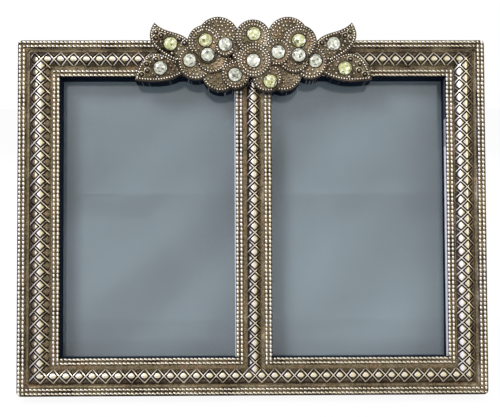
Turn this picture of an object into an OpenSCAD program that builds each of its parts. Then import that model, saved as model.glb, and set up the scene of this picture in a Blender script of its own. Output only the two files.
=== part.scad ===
// Double photo frame: one cast front with two windows, a jewelled crest, glass, a back board and an easel leg.
// Pieces are drawn in plan, face up, with z from the casting's rear edge, and stand() then leans them back.

/* [Photos] */
// Width of the photo that each window takes
photo_w = 50.8; // [44:0.1:90]
// Height of the photo that each window takes
photo_h = 76.2; // [60:0.1:130]
// Thickness of each pane of glass
glass_t = 1.2; // [1:0.1:2.5]
// Thickness of each insert card
card_t = 0.5; // [0.3:0.1:1.2]

/* [Casting] */
// How far the lip covers the photo at each side
lip_x = 3.35; // [2:0.05:3.6]
// How far the lip covers the photo at its top and bottom
lip_y = 2.85; // [2:0.05:3.4]
// Depth of the lip, from the bead rows back to the glass
lip_d = 5.2; // [4:0.1:7]
// Width of each side rail
side_rail_w = 10.4; // [10.4:0.1:18]
// Width of the top rail
top_rail_w = 9.5; // [9.3:0.1:18]
// Width of the bottom rail
bottom_rail_w = 9.6; // [9.3:0.1:18]
// Width of the mullion between the windows
mullion_w = 9; // [8.8:0.1:20]
// How far the pair of windows stands to the right of the middle
window_shift = 0.35; // [0:0.05:0.4]
// Radius of the casting's corners
corner_r = 1.2; // [0.6:0.1:2]
// Radius of the rounded outer edge
edge_r = 0.6; // [0.3:0.1:0.8]
// Height of the domed moulding above the bead rows
dome_rise = 1.4; // [0.6:0.1:1.9]
// Width of the cove round the outside of the moulding
cove_w = 1.1; // [0.8:0.05:1.5]
// Depth of that cove
cove_d = 0.35; // [0.1:0.05:0.6]
// Width of the flat between the moulding and the window's beads, at the sides
side_flat_w = 0.3; // [0.1:0.05:0.8]
// Width of the same flat at the top and the bottom, and at both sides of the mullion
flat_w = 0.9; // [0.5:0.05:1.2]
// Width of one bead row
bead_w = 0.9; // [0.5:0.05:0.95]
// Height of one bead row
bead_h = 0.4; // [0.2:0.05:0.6]
// Distance from one bead row to the next
row_pitch = 1; // [0.96:0.02:1.1]

/* [Crest] */
// Width of the crest over its lower leaves
crest_w = 59; // [50:0.5:68]
// Thickness of the crest at its lowest leaf
crest_t = 2.2; // [2:0.1:3]
// Height that one petal stands above the one behind it
petal_rise = 0.26; // [0.2:0.02:0.4]
// Height of the rim round a petal
rim_h = 0.2; // [0.1:0.02:0.3]
// Width of the rim round a petal
rim_w = 0.5; // [0.3:0.05:0.7]
// Diameter of each stone
stone_d = 3.4; // [2.6:0.1:3.4]
// Depth of the cup that a stone sits in
cup_d = 1.1; // [0.8:0.1:1.3]

/* [Back] */
// Thickness of the back board
board_t = 2.2; // [1.6:0.1:4]
// Thickness of the facing on the board and on the leg
facing_t = 0.45; // [0.2:0.05:1]
// Length of a turn-button from its pivot to its tip
button_l = 7; // [6:0.1:9]
// Thickness of a turn-button
button_t = 0.6; // [0.4:0.1:1]

/* [Easel] */
// Angle at which the frame leans back
lean = 12; // [8:1:16]
// Angle between the leg and the back when it stands
leg_open = 24; // [20:1:28]
// Distance from the casting's top edge down to the leg's hinge
hinge_drop = 23.6; // [21:0.1:31]
// Width of the leg at its foot
foot_w = 26; // [18:1:34]
// Width of the leg at its top
leg_top_w = 15; // [14:1:18]
// Thickness of the leg's board
leg_t = 1.9; // [1.5:0.1:2.4]
// Radius of the hinge pin
pin_r = 0.7; // [0.5:0.05:0.8]

/* [Hidden] */
// Clearances, and one overrun for every cut
pocket_gap = 0.3;
board_gap = 0.25;
seat_gap = 0.05;
cup_gap = 0.04;
run_gap = 0.06;
cut_over = 2;
// How far the crest's skirts stop short of the window's walls and of the glass
window_gap = 0.2;
skirt_gap = 1;
skirt_in = 0.1;
// Depth by which a moulding is rooted in the plate under it
root_d = 0.8;

// Windows, rebates and the recess for the board, in plan
window_w = photo_w - 2 * lip_x;
window_h = photo_h - 2 * lip_y;
frame_w = 2 * side_rail_w + 2 * window_w + mullion_w;
frame_h = bottom_rail_w + window_h + top_rail_w;
window_x = window_shift + (mullion_w + window_w) / 2;
window_y = bottom_rail_w + window_h / 2;
rebate_w = photo_w + 2 * pocket_gap;
rebate_h = photo_h + 2 * pocket_gap;
ledge_w = 1.5;
recess_w = 2 * window_x - 2 * window_shift + rebate_w + 2 * ledge_w;
recess_h = rebate_h + 2 * ledge_w;

// Depths, from the rear edge of the casting
facing_z = seat_gap;
board_z = facing_z + facing_t;
card_z = board_z + board_t;
glass_z = card_z + card_t;
lip_z = glass_z + glass_t;
bead_z = lip_z + lip_d;

// Moulding: the outer border carries two bead rows, and so does the band round each window
row_in = 0.7;
lip_row_in = 0.42;
border_w = row_in + row_pitch + bead_w / 2 + 0.05 * bead_w;
band_w = lip_row_in + row_pitch + bead_w / 2 + 0.05 * bead_w;
DOME_STEPS = 14;
BEAD_STEPS = 6;
COVE_STEPS = 6;
dome_power = 0.72;
side_dome_x = window_x - window_shift + window_w / 2 + band_w + side_flat_w;
dome_in = border_w + cove_w;
low_dome_w = bottom_rail_w - band_w - flat_w - dome_in;
high_dome_w = top_rail_w - band_w - flat_w - dome_in;
mullion_dome_w = mullion_w - 2 * (band_w + flat_w);
dome_points = [for (i = [0:DOME_STEPS]) [i / DOME_STEPS, pow(sin(180 * i / DOME_STEPS), dome_power) * dome_rise]];

// Crest: petals as [x, y, radius, level], in shares of its width from the middle of the top rail
petal_shares = [
    [-0.139, -0.071, 0.08, 1], [0.127, -0.071, 0.079, 1],
    [-0.244, -0.026, 0.0755, 2], [0.2415, -0.027, 0.072, 2],
    [-0.149, 0.078, 0.089, 2], [0.147, 0.078, 0.089, 2],
    [-0.175, -0.004, 0.071, 3], [0.173, -0.004, 0.071, 3],
    [-0.076, -0.0815, 0.061, 3], [0.058, -0.0925, 0.063, 3],
    [-0.016, 0.0395, 0.085, 3],
    [-0.205, 0.057, 0.073, 4], [0.196, 0.057, 0.073, 4],
    [-0.193, 0.004, 0.039, 4], [0.192, 0.002, 0.039, 4],
    [-0.002, 0.078, 0.075, 4], [0.1, 0.014, 0.059, 4],
    [-0.12, 0.035, 0.0415, 5], [0.002, -0.021, 0.074, 5]];
// Stones as [x, y, level], in the same shares
stone_shares = [
    [-0.351, 0.054, 1], [-0.394, -0.049, 0], [-0.268, -0.019, 2], [-0.202, 0.065, 4],
    [-0.193, 0.003, 4], [-0.119, 0.046, 5], [0.002, 0.092, 4], [0, -0.023, 5],
    [-0.078, -0.081, 3], [0.105, 0.014, 4], [0.193, 0.063, 4], [0.192, 0.001, 4],
    [0.262, -0.021, 2], [0.341, 0.053, 1], [0.389, -0.051, 0], [0.071, -0.109, 3]];
YELLOW = [1, 4, 7, 11, 15, 16];
// Leaves as stretches of four control points each, in the same shares
upper_leaf_shares = [
    [[-0.419, 0.144], [-0.458, 0.088], [-0.444, 0.031], [-0.33, -0.022]],
    [[-0.33, -0.022], [-0.29, -0.02], [-0.262, 0.02], [-0.268, 0.061]],
    [[-0.268, 0.061], [-0.305, 0.112], [-0.373, 0.092], [-0.419, 0.144]]];
lower_leaf_shares = [
    [[-0.502, -0.1], [-0.492, -0.017], [-0.432, 0.051], [-0.347, -0.008]],
    [[-0.347, -0.008], [-0.31, -0.02], [-0.285, -0.05], [-0.297, -0.073]],
    [[-0.297, -0.073], [-0.356, -0.112], [-0.432, -0.112], [-0.502, -0.1]]];
LEAF_STEPS = 7;
crest_x = window_shift;
crest_y = frame_h - top_rail_w / 2;
peg_r = 0.8;
peg_l = 1.6;
peg_x = 0.28 * crest_w;

// Stone: table, girdle and point, as shares of its radius and of its height over and in the cup
crown_h = 0.55;
girdle_h = 0.12;
table_share = 0.62;
point_share = 0.3;
STONE_SIDES = 16;

// Hinge, by its distance from the top
hinge_y = frame_h - hinge_drop;

// Turn-buttons and their screws: each place is [name, x, y, direction to the board]
button_r = 1.9;
tip_r = 1.4;
screw_r = 0.7;
screw_l = 3;
head_r = 1.5;
head_t = 0.5;
rim_x = (frame_w - recess_w) / 4;
function button_places() = [
    ["upper_left", 2 * window_shift - window_x, crest_low_y(), -90],
    ["upper_right", window_x, crest_low_y(), -90],
    ["lower_left", 2 * window_shift - window_x, (window_y - recess_h / 2) / 2, 90],
    ["lower_right", window_x, (window_y - recess_h / 2) / 2, 90],
    ["left", -frame_w / 2 + rim_x + window_shift / 2, window_y, 0],
    ["right", frame_w / 2 - rim_x + window_shift / 2, window_y, 180]];
function crest_low_y() = (window_y + recess_h / 2 + frame_h) / 2;

// Easel hinge, in plan with the leg folded flat
leaf_t = 0.6;
knuckle_r = 1.5;
leaf_in = 0.06;
axis_z = facing_z - knuckle_r - 0.1 * knuckle_r;
leg_gap = 0.3;
leg_z = facing_z - leg_gap;
leg_back_z = leg_z - leg_t - facing_t;
leaf_back_z = leg_back_z - leaf_t;
plate_w = 19;
plate_h = 15;
leaf_w = 9;
leaf_h = 15;
knuckle_w = 9;
knuckle_gap = 0.15;
pin_head_r = 1.15;
pin_head_t = 0.5;
rivet_r = 0.8;
rivet_head_r = 1.6;
rivet_head_t = 0.4;
rivet_dx = 6.4;
rivet_dy = 4.2;
leaf_rivet_y = 5.5;
leaf_rivet_dy = 5.5;
// The heel of the leg's leaf meets the plate when the leg is open
plate_back_z = facing_z - leaf_t;
heel_in = axis_z - leg_back_z;
heel_l = (axis_z * -1 + plate_back_z + heel_in * cos(leg_open)) / sin(leg_open) - seat_gap;

// Standing: the leg's slant from upright, and the middle of the part from front to back
slant = leg_open - lean;
axis_up = hinge_y * cos(lean) + axis_z * sin(lean);
axis_back = -axis_z * cos(lean) + hinge_y * sin(lean);
foot_l = (axis_up + heel_in * sin(slant)) / cos(slant);
foot_back = axis_back + foot_l * sin(slant) + heel_in * cos(slant);
face_front = -max([for (p = dome_points)
    (bead_z + p[1]) * cos(lean) - (dome_in + p[0] * low_dome_w) * sin(lean)]);
middle_y = (foot_back + face_front) / 2;

FIXED = ["front_casting", "crest_casting", "left_glass", "right_glass", "left_insert_card",
         "right_insert_card", "back_board", "back_facing", "button_screws", "hinge_plate",
         "hinge_pin", "hinge_rivets", "leg_leaf", "easel_leg", "leg_facing", "leg_rivets"];

CAST = "#b39b77";
STEEL = "#b9b3a6";

// Placing
module stand() {
    translate([0, -middle_y, 0]) rotate([90 - lean, 0, 0]) children();
}

module open_leg() {
    translate([0, hinge_y, axis_z]) rotate([leg_open, 0, 0]) translate([0, -hinge_y, -axis_z]) children();
}

module each_window() {
    for (x = [2 * window_shift - window_x, window_x]) translate([x, window_y]) children();
}

// Moulding profiles, as [distance in from the outer edge, height over the bead rows' ground]
function edge_profile() = concat([[edge_r, -root_d]],
    [for (a = [0:22.5:90]) [edge_r - edge_r * cos(a), edge_r * sin(a) - edge_r]]);
function cove_profile() = [for (i = [0:COVE_STEPS])
    [border_w + cove_w * i / COVE_STEPS, -cove_d * sin(180 * i / COVE_STEPS)]];
function dome_profile(w) = [for (i = [1:DOME_STEPS]) [dome_in + dome_points[i][0] * w, dome_points[i][1]]];
function rail_profile(w) = concat(edge_profile(), cove_profile(), dome_profile(w), [[dome_in + w + root_d, -root_d]]);
function bead_profile() = concat([[0, -root_d]], [for (i = [0:BEAD_STEPS])
    [bead_w / 2 * (1 - cos(180 * i / BEAD_STEPS)), bead_h * sin(180 * i / BEAD_STEPS)]], [[bead_w, -root_d]]);

// A mitred ring inside the rectangle from a to b, with a profile each for the left, bottom, right and top
module moulding_ring(a, b, sides) {
    n = len(sides[0]);
    points = [for (i = [0:n - 1]) each
        [for (c = [[0, 1], [2, 1], [2, 3], [0, 3]]) [
            c[0] == 0 ? a[0] + sides[0][i][0] : b[0] - sides[2][i][0],
            c[1] == 1 ? a[1] + sides[1][i][0] : b[1] - sides[3][i][0], sides[0][i][1]]]];
    polyhedron(points, [for (i = [0:n - 1], k = [0:3]) let (j = (i + 1) % n, m = (k + 1) % 4)
        [4 * i + k, 4 * j + k, 4 * j + m, 4 * i + m]]);
}

module bead_ring(a, b) {
    moulding_ring(a, b, [for (k = [0:3]) bead_profile()]);
}

module rounded_plate(w, h, t, r) {
    linear_extrude(t) offset(r = r, $fn = 32) square([w - 2 * r, h - 2 * r], center = true);
}

// Crest outlines
function bezier(p, t) = pow(1 - t, 3) * p[0] + 3 * t * pow(1 - t, 2) * p[1]
    + 3 * t * t * (1 - t) * p[2] + pow(t, 3) * p[3];
function leaf_points(shares) = crest_w * [for (s = shares, i = [0:LEAF_STEPS - 1]) bezier(s, i / LEAF_STEPS)];
function level_h(level) = crest_t + level * petal_rise;

module leaf_2d(shares, grow = 0) {
    offset(delta = grow) polygon(leaf_points(shares));
}

module crest_2d(grow) {
    for (p = petal_shares) translate(crest_w * [p[0], p[1]]) circle(crest_w * p[2] + grow);
    for (side = [0, 1]) mirror([side, 0]) {
        leaf_2d(upper_leaf_shares, grow);
        leaf_2d(lower_leaf_shares, grow);
    }
}

module leaf(shares, level) {
    difference() {
        linear_extrude(level_h(level) + rim_h) leaf_2d(shares);
        translate([0, 0, level_h(level)]) linear_extrude(cut_over) leaf_2d(shares, -rim_w);
    }
}

module petal(r, level) {
    difference() {
        cylinder(h = level_h(level) + rim_h, r = r);
        translate([0, 0, level_h(level)]) cylinder(h = cut_over, r = r - rim_w);
    }
}

// Castings
module front_casting() {
    mid = window_shift;
    a = [-frame_w / 2, 0];
    b = [frame_w / 2, frame_h];
    bed_a = [mid - side_dome_x, dome_in + low_dome_w];
    bed_b = [mid + side_dome_x, frame_h - dome_in - high_dome_w];
    dome_widths = [bed_a[0] - a[0] - dome_in, low_dome_w, b[0] - bed_b[0] - dome_in, high_dome_w];
    color(CAST) stand() difference() {
        union() {
            translate([0, frame_h / 2]) rounded_plate(frame_w, frame_h, bead_z - edge_r, corner_r);
            intersection() {
                translate([0, 0, bead_z]) moulding_ring(a, b, [for (w = dome_widths) rail_profile(w)]);
                translate([0, frame_h / 2]) rounded_plate(frame_w, frame_h, bead_z + cut_over, corner_r);
            }
            translate([bed_a[0], bed_a[1], bead_z - root_d]) cube([bed_b[0] - bed_a[0], bed_b[1] - bed_a[1], root_d]);
            for (k = [0, 1]) translate([0, 0, bead_z])
                bead_ring(a + [1, 1] * (row_in - bead_w / 2 + k * row_pitch),
                          b - [1, 1] * (row_in - bead_w / 2 + k * row_pitch));
            each_window() window_beads();
            mullion_bar();
        }
        each_window() translate([-window_w / 2, -window_h / 2, -cut_over])
            cube([window_w, window_h, bead_z + 2 * cut_over]);
        each_window() translate([-rebate_w / 2, -rebate_h / 2, -cut_over])
            cube([rebate_w, rebate_h, lip_z + cut_over]);
        translate([mid, window_y, -cut_over])
            rounded_plate(recess_w, recess_h, card_z + cut_over, corner_r);
        for (p = button_places()) translate([p[1], p[2], -cut_over])
            cylinder(h = screw_l + cut_over + seat_gap, r = screw_r + run_gap / 2);
        translate([crest_x, crest_y, bead_z]) linear_extrude(dome_rise + cut_over) crest_2d(seat_gap);
        for (s = [-1, 1]) translate([crest_x + s * peg_x, crest_y, bead_z - peg_l - seat_gap])
            cylinder(h = peg_l + cut_over, r = peg_r + seat_gap);
    }
}

module window_beads() {
    for (k = [0, 1]) {
        out = [window_w / 2, window_h / 2] + [1, 1] * (lip_row_in + bead_w / 2 + k * row_pitch);
        translate([0, 0, bead_z]) bead_ring(-out, out);
    }
}

// The mullion's dome runs into the top and bottom rails
module mullion_bar() {
    w = mullion_dome_w;
    from = dome_in + low_dome_w / 2;
    to = frame_h - dome_in - high_dome_w / 2;
    translate([window_shift - w / 2, to, bead_z]) rotate([90, 0, 0]) linear_extrude(to - from)
        polygon(concat([[0, -root_d]], [for (p = dome_points) [p[0] * w, p[1]]], [[w, -root_d]]));
}

// Where the crest hangs over a window, its wall runs back towards the glass
module crest_skirts() {
    deep = lip_d - skirt_gap;
    w = window_w - 2 * window_gap;
    h = window_h - 2 * window_gap;
    translate([-crest_x, -crest_y, -deep]) intersection() {
        translate([crest_x, crest_y]) linear_extrude(deep + crest_t) crest_2d(-skirt_in);
        each_window() translate([-w / 2, -h / 2]) cube([w, h, deep + crest_t]);
    }
}

module crest_casting() {
    color(CAST) stand() translate([crest_x, crest_y, bead_z]) difference() {
        union() {
            for (side = [0, 1]) mirror([side, 0]) {
                leaf(lower_leaf_shares, 0);
                leaf(upper_leaf_shares, 1);
            }
            for (p = petal_shares) translate(crest_w * [p[0], p[1]]) petal(crest_w * p[2], p[3]);
            for (s = [-1, 1]) translate([s * peg_x, 0, -peg_l]) cylinder(h = 2 * peg_l, r = peg_r);
            crest_skirts();
        }
        for (s = stone_shares) translate([crest_w * s[0], crest_w * s[1], level_h(s[2]) - cup_d])
            cylinder(h = cup_d + cut_over, r = stone_d / 2 + cup_gap);
    }
}

// Stones, with the point down in the cup
module stone(i) {
    s = stone_shares[i - 1];
    yellow = len([for (y = YELLOW) if (y == i) y]) > 0;
    color(yellow ? "#e9e79a" : "#e8efe6") stand()
        translate([crest_x + crest_w * s[0], crest_y + crest_w * s[1], bead_z + level_h(s[2]) - cup_d])
        hull() {
            cylinder(h = girdle_h, r = point_share * stone_d / 2, $fn = STONE_SIDES);
            translate([0, 0, cup_d - girdle_h]) cylinder(h = girdle_h, r = stone_d / 2, $fn = STONE_SIDES);
            translate([0, 0, cup_d + crown_h - girdle_h])
                cylinder(h = girdle_h, r = table_share * stone_d / 2, $fn = STONE_SIDES / 2);
        }
}

// Glass and cards
module pane(side, z, t, gap) {
    x = window_shift + side * (window_x - window_shift);
    translate([x - rebate_w / 2 + gap, window_y - rebate_h / 2 + gap, z])
        cube([rebate_w - 2 * gap, rebate_h - 2 * gap, t]);
}

module left_glass() {
    color("#8f9aa0", 0.4) stand() pane(-1, glass_z, glass_t, pocket_gap / 2);
}

module right_glass() {
    color("#8f9aa0", 0.4) stand() pane(1, glass_z, glass_t, pocket_gap / 2);
}

module left_insert_card() {
    color("#70808c") stand() pane(-1, card_z, card_t, pocket_gap);
}

module right_insert_card() {
    color("#70808c") stand() pane(1, card_z, card_t, pocket_gap);
}

// Back board, with holes for the hinge's rivets
module hinge_rivet_places() {
    for (x = [-1, 1], y = [0, 1])
        translate([window_shift + x * rivet_dx, hinge_y + knuckle_r + rivet_dy / 2 + y * (rivet_dy + rivet_dy)])
            children();
}

module backing(z, t) {
    difference() {
        translate([window_shift, window_y, z])
            rounded_plate(recess_w - 2 * board_gap, recess_h - 2 * board_gap, t, corner_r - board_gap);
        hinge_rivet_places() translate([0, 0, z - cut_over]) cylinder(h = t + 2 * cut_over, r = rivet_r + seat_gap);
    }
}

module back_board() {
    color("#6b5136") stand() backing(board_z, board_t);
}

module back_facing() {
    color("#1b1b20") stand() backing(facing_z, facing_t);
}

// Turn-buttons, pointing over the board at rest
module turn_button(place) {
    color(STEEL) stand() translate([place[1], place[2], -seat_gap - button_t]) rotate(place[3]) difference() {
        linear_extrude(button_t) hull() {
            circle(button_r, $fn = 40);
            translate([button_l - tip_r, 0]) circle(tip_r, $fn = 32);
        }
        translate([0, 0, -cut_over]) cylinder(h = button_t + 2 * cut_over, r = screw_r + run_gap);
    }
}

module button_screws() {
    color(STEEL) stand() for (p = button_places()) translate([p[1], p[2], 0]) {
        translate([0, 0, -button_t - 2 * seat_gap]) cylinder(h = screw_l + button_t, r = screw_r);
        translate([0, 0, -button_t - 2 * seat_gap - head_t]) difference() {
            cylinder(h = head_t, r = head_r);
            translate([-head_r - seat_gap, -screw_r / 4, -head_t / 2])
                cube([2 * (head_r + seat_gap), screw_r / 2, head_t]);
        }
    }
}

// Easel hinge
module knuckle(x, w) {
    translate([x, hinge_y, axis_z]) rotate([0, 90, 0]) cylinder(h = w, r = knuckle_r);
}

module knuckle_bore(gap) {
    translate([-plate_w + window_shift, hinge_y, axis_z]) rotate([0, 90, 0])
        cylinder(h = 2 * plate_w, r = pin_r + gap);
}

module hinge_plate() {
    x0 = window_shift - plate_w / 2;
    ear_w = (plate_w - knuckle_w) / 2 - knuckle_gap;
    color(STEEL) stand() difference() {
        union() {
            translate([x0, hinge_y + knuckle_r + knuckle_gap, plate_back_z]) cube([plate_w, plate_h, leaf_t]);
            for (x = [x0, x0 + plate_w - ear_w]) {
                knuckle(x, ear_w);
                translate([x, hinge_y, plate_back_z]) cube([ear_w, knuckle_r + 2 * knuckle_gap, leaf_t]);
            }
        }
        knuckle_bore(seat_gap / 2);
        hinge_rivet_places() translate([0, 0, plate_back_z - cut_over])
            cylinder(h = leaf_t + 2 * cut_over, r = rivet_r + seat_gap);
    }
}

module hinge_pin() {
    x0 = window_shift - plate_w / 2;
    color(STEEL) stand() translate([x0, hinge_y, axis_z]) rotate([0, 90, 0]) {
        translate([0, 0, -pin_head_t]) cylinder(h = pin_head_t, r = pin_head_r);
        cylinder(h = plate_w, r = pin_r);
        translate([0, 0, plate_w]) cylinder(h = pin_head_t, r = pin_head_r);
    }
}

module rivet(from, to) {
    translate([0, 0, from - rivet_head_t]) cylinder(h = rivet_head_t, r = rivet_head_r);
    translate([0, 0, from]) cylinder(h = to - from, r = rivet_r);
}

module hinge_rivets() {
    color(STEEL) stand() hinge_rivet_places() rivet(plate_back_z, board_z + board_t - seat_gap);
}

module leg_leaf() {
    x0 = window_shift - leaf_w / 2 + knuckle_gap;
    w = leaf_w - 2 * knuckle_gap;
    color(STEEL) stand() open_leg() difference() {
        union() {
            knuckle(x0, w);
            translate([x0, hinge_y - leaf_h, leaf_back_z + leaf_in]) cube([w, leaf_h + heel_l, leaf_t - leaf_in]);
        }
        knuckle_bore(run_gap);
        leg_rivet_places() translate([0, 0, leaf_back_z - cut_over])
            cylinder(h = leaf_t + 2 * cut_over, r = rivet_r + seat_gap);
    }
}

module leg_rivet_places() {
    for (k = [0, 1]) translate([window_shift, hinge_y - leaf_rivet_y - k * leaf_rivet_dy]) children();
}

module leg_2d() {
    top = hinge_y - knuckle_r - leg_gap;
    low = hinge_y - foot_l - leg_t;
    translate([window_shift, 0])
        polygon([[-leg_top_w / 2, top], [leg_top_w / 2, top], [foot_w / 2, low], [-foot_w / 2, low]]);
}

// A layer of the leg, cut level where it meets the ground
module leg_layer(z, t) {
    difference() {
        stand() open_leg() difference() {
            translate([0, 0, z]) linear_extrude(t) leg_2d();
            leg_rivet_places() translate([0, 0, z - cut_over]) cylinder(h = t + 2 * cut_over, r = rivet_r + seat_gap);
        }
        translate([-frame_w / 2, -frame_h / 2, -frame_h]) cube([frame_w, frame_h, frame_h]);
    }
}

module easel_leg() {
    color("#6b5136") leg_layer(leg_z - leg_t, leg_t);
}

module leg_facing() {
    color("#1b1b20") leg_layer(leg_back_z, facing_t);
}

module leg_rivets() {
    color(STEEL) stand() open_leg() leg_rivet_places() rivet(leaf_back_z + leaf_in, leg_z - seat_gap);
}

front_casting();
crest_casting();
left_glass();
right_glass();
left_insert_card();
right_insert_card();
back_board();
back_facing();
button_screws();
hinge_plate();
hinge_pin();
hinge_rivets();
leg_leaf();
easel_leg();
leg_facing();
leg_rivets();
for (i = [1:len(stone_shares)]) stone(i);
for (p = button_places()) turn_button(p);
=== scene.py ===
"""Looks of the double photo frame: an antique metal casting with beaded and latticed mouldings, a
crest of granulated petals set with stones, glass panes, and a velvet back with an easel leg."""

import math
import random

import bmesh
import bpy
from bpy.props import FloatProperty, FloatVectorProperty, IntProperty, PointerProperty
from mathutils import Matrix, Vector


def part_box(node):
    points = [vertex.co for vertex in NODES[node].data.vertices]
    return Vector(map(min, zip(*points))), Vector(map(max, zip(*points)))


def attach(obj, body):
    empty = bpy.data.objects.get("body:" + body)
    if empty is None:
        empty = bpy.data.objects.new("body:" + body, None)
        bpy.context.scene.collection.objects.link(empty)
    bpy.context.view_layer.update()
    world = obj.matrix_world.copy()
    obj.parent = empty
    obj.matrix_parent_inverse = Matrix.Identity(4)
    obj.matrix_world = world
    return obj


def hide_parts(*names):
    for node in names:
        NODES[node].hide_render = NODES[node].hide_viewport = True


bl_info = {
    "name": "Double Photo Frame",
    "version": (1, 0, 0),
    "blender": (4, 5, 0),
    "location": "View3D > Sidebar > Photo Frame",
    "description": "Dresses the packed double photo frame with its mouldings, crest, stones and finishes",
    "category": "Object",
}

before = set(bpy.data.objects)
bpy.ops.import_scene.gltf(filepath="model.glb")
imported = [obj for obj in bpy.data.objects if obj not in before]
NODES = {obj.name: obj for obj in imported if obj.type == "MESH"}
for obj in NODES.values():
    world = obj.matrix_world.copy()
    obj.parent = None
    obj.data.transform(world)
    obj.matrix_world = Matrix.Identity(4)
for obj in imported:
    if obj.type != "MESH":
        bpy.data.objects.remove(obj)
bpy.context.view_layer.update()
MM = 0.001
# Vertices nearer than this, in millimetres, count as one, and directions with such a product as the same
MERGE_DISTANCE = 1e-5
NEARLY_ONE = 0.99


def length(name, description, default_mm, **options):
    """A length property; the default is in millimetres and the property in metres."""
    return FloatProperty(name=name, description=description, default=default_mm * MM,
                         unit="LENGTH", precision=5, **options)


def colour(name, description, default):
    """A colour property in linear light."""
    return FloatVectorProperty(name=name, description=description, default=default,
                               subtype="COLOR", size=3, min=0.0, max=1.0)


class PHOTOFRAME_PG_casting(bpy.types.PropertyGroup):
    """Sizes of the cast front; they follow the part's own."""

    width: length("Width", "Outer width of the casting", 118.0)
    height: length("Height", "Outer height of the casting", 89.6)
    window_w: length("Window width", "Width of each opening", 44.1)
    window_h: length("Window height", "Height of each opening", 70.5)
    bottom_rail: length("Bottom rail", "Width of the bottom rail", 9.6)
    mullion: length("Mullion", "Width of the bar between the windows", 9.0)
    shift: length("Shift", "How far the pair of windows stands to the right", 0.35)
    rebate_w: length("Rebate width", "Width of each rebate behind the lip", 51.4)
    rebate_h: length("Rebate height", "Height of each rebate behind the lip", 76.8)
    recess_w: length("Recess width", "Width of the recess for the back board", 107.5)
    recess_h: length("Recess height", "Height of the recess for the back board", 79.8)
    recess_d: length("Recess depth", "Depth of the recess for the back board", 2.7)
    lip_z: length("Lip", "Height of the lip's underside over the rear edge", 4.4)
    bead_z: length("Bead level", "Height of the bead rows' ground over the rear edge", 9.6)
    corner: length("Corner", "Radius of the casting's corners", 1.2)
    edge: length("Edge", "Radius of the rounded outer edge", 0.6)
    border: length("Border", "Width of the beaded outer border", 2.195)
    band: length("Band", "Width of the beaded band round each window", 1.915)
    dome: length("Dome", "Rise of the domed moulding over the bead level", 1.4)
    cove: length("Cove", "Depth of the cove round the outside of the moulding", 0.35)
    cove_w: length("Cove width", "Width of that cove", 1.1)
    side_flat: length("Side flat", "Flat between the moulding and the beads at the sides", 0.3)
    flat: length("Flat", "The same flat at the top, the bottom and both sides of the mullion", 0.9)
    skirt_gap: length("Skirt gap", "How far the crest's wall stops short of the lip's underside", 1.0)
    window_gap: length("Window gap", "How far the crest's wall stops short of the window's walls", 0.35)
    draft: length("Draft", "How much narrower each wall of a window leaves it at the lip", 0.05)
    mullion_draft: length("Mullion draft", "The same between the left window and the mullion", 0.32)
    chamfer: length("Chamfer", "Chamfer round the front of each window", 0.2)
    lean: FloatProperty(name="Lean", description="Angle at which the frame leans back",
                        default=math.radians(12.0), subtype="ANGLE")


class PHOTOFRAME_PG_ornament(bpy.types.PropertyGroup):
    """Sizes of the beads, the lattice and the crest."""

    bead_pitch: length("Bead pitch", "Distance from bead to bead along a row", 1.05)
    bead_row: length("Bead row", "Distance from one bead row to the next", 1.0)
    bead_d: length("Bead", "Length of one bead along its row", 0.98)
    bead_h: length("Bead height", "How far a bead stands over its ground", 0.4)
    lattice_pitch: length("Lattice pitch", "Distance between crossings along a rail", 3.235)
    granule_d: length("Granule", "Diameter of a granule in a petal's field", 0.74)
    rim_bead_d: length("Rim bead", "Diameter of a bead on a petal's rim", 0.56)
    rim_pitch: length("Rim pitch", "Distance from bead to bead along a petal's rim", 0.69)
    stone_d: length("Stone", "Diameter of each stone", 3.4)
    crest_t: length("Crest thickness", "Thickness of the crest at its lowest leaf", 2.2)
    petal_step: length("Petal step", "Height of one petal over the one behind it", 0.26)
    seed: IntProperty(name="Seed", description="Seed of the small differences between granules", default=7)


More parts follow.
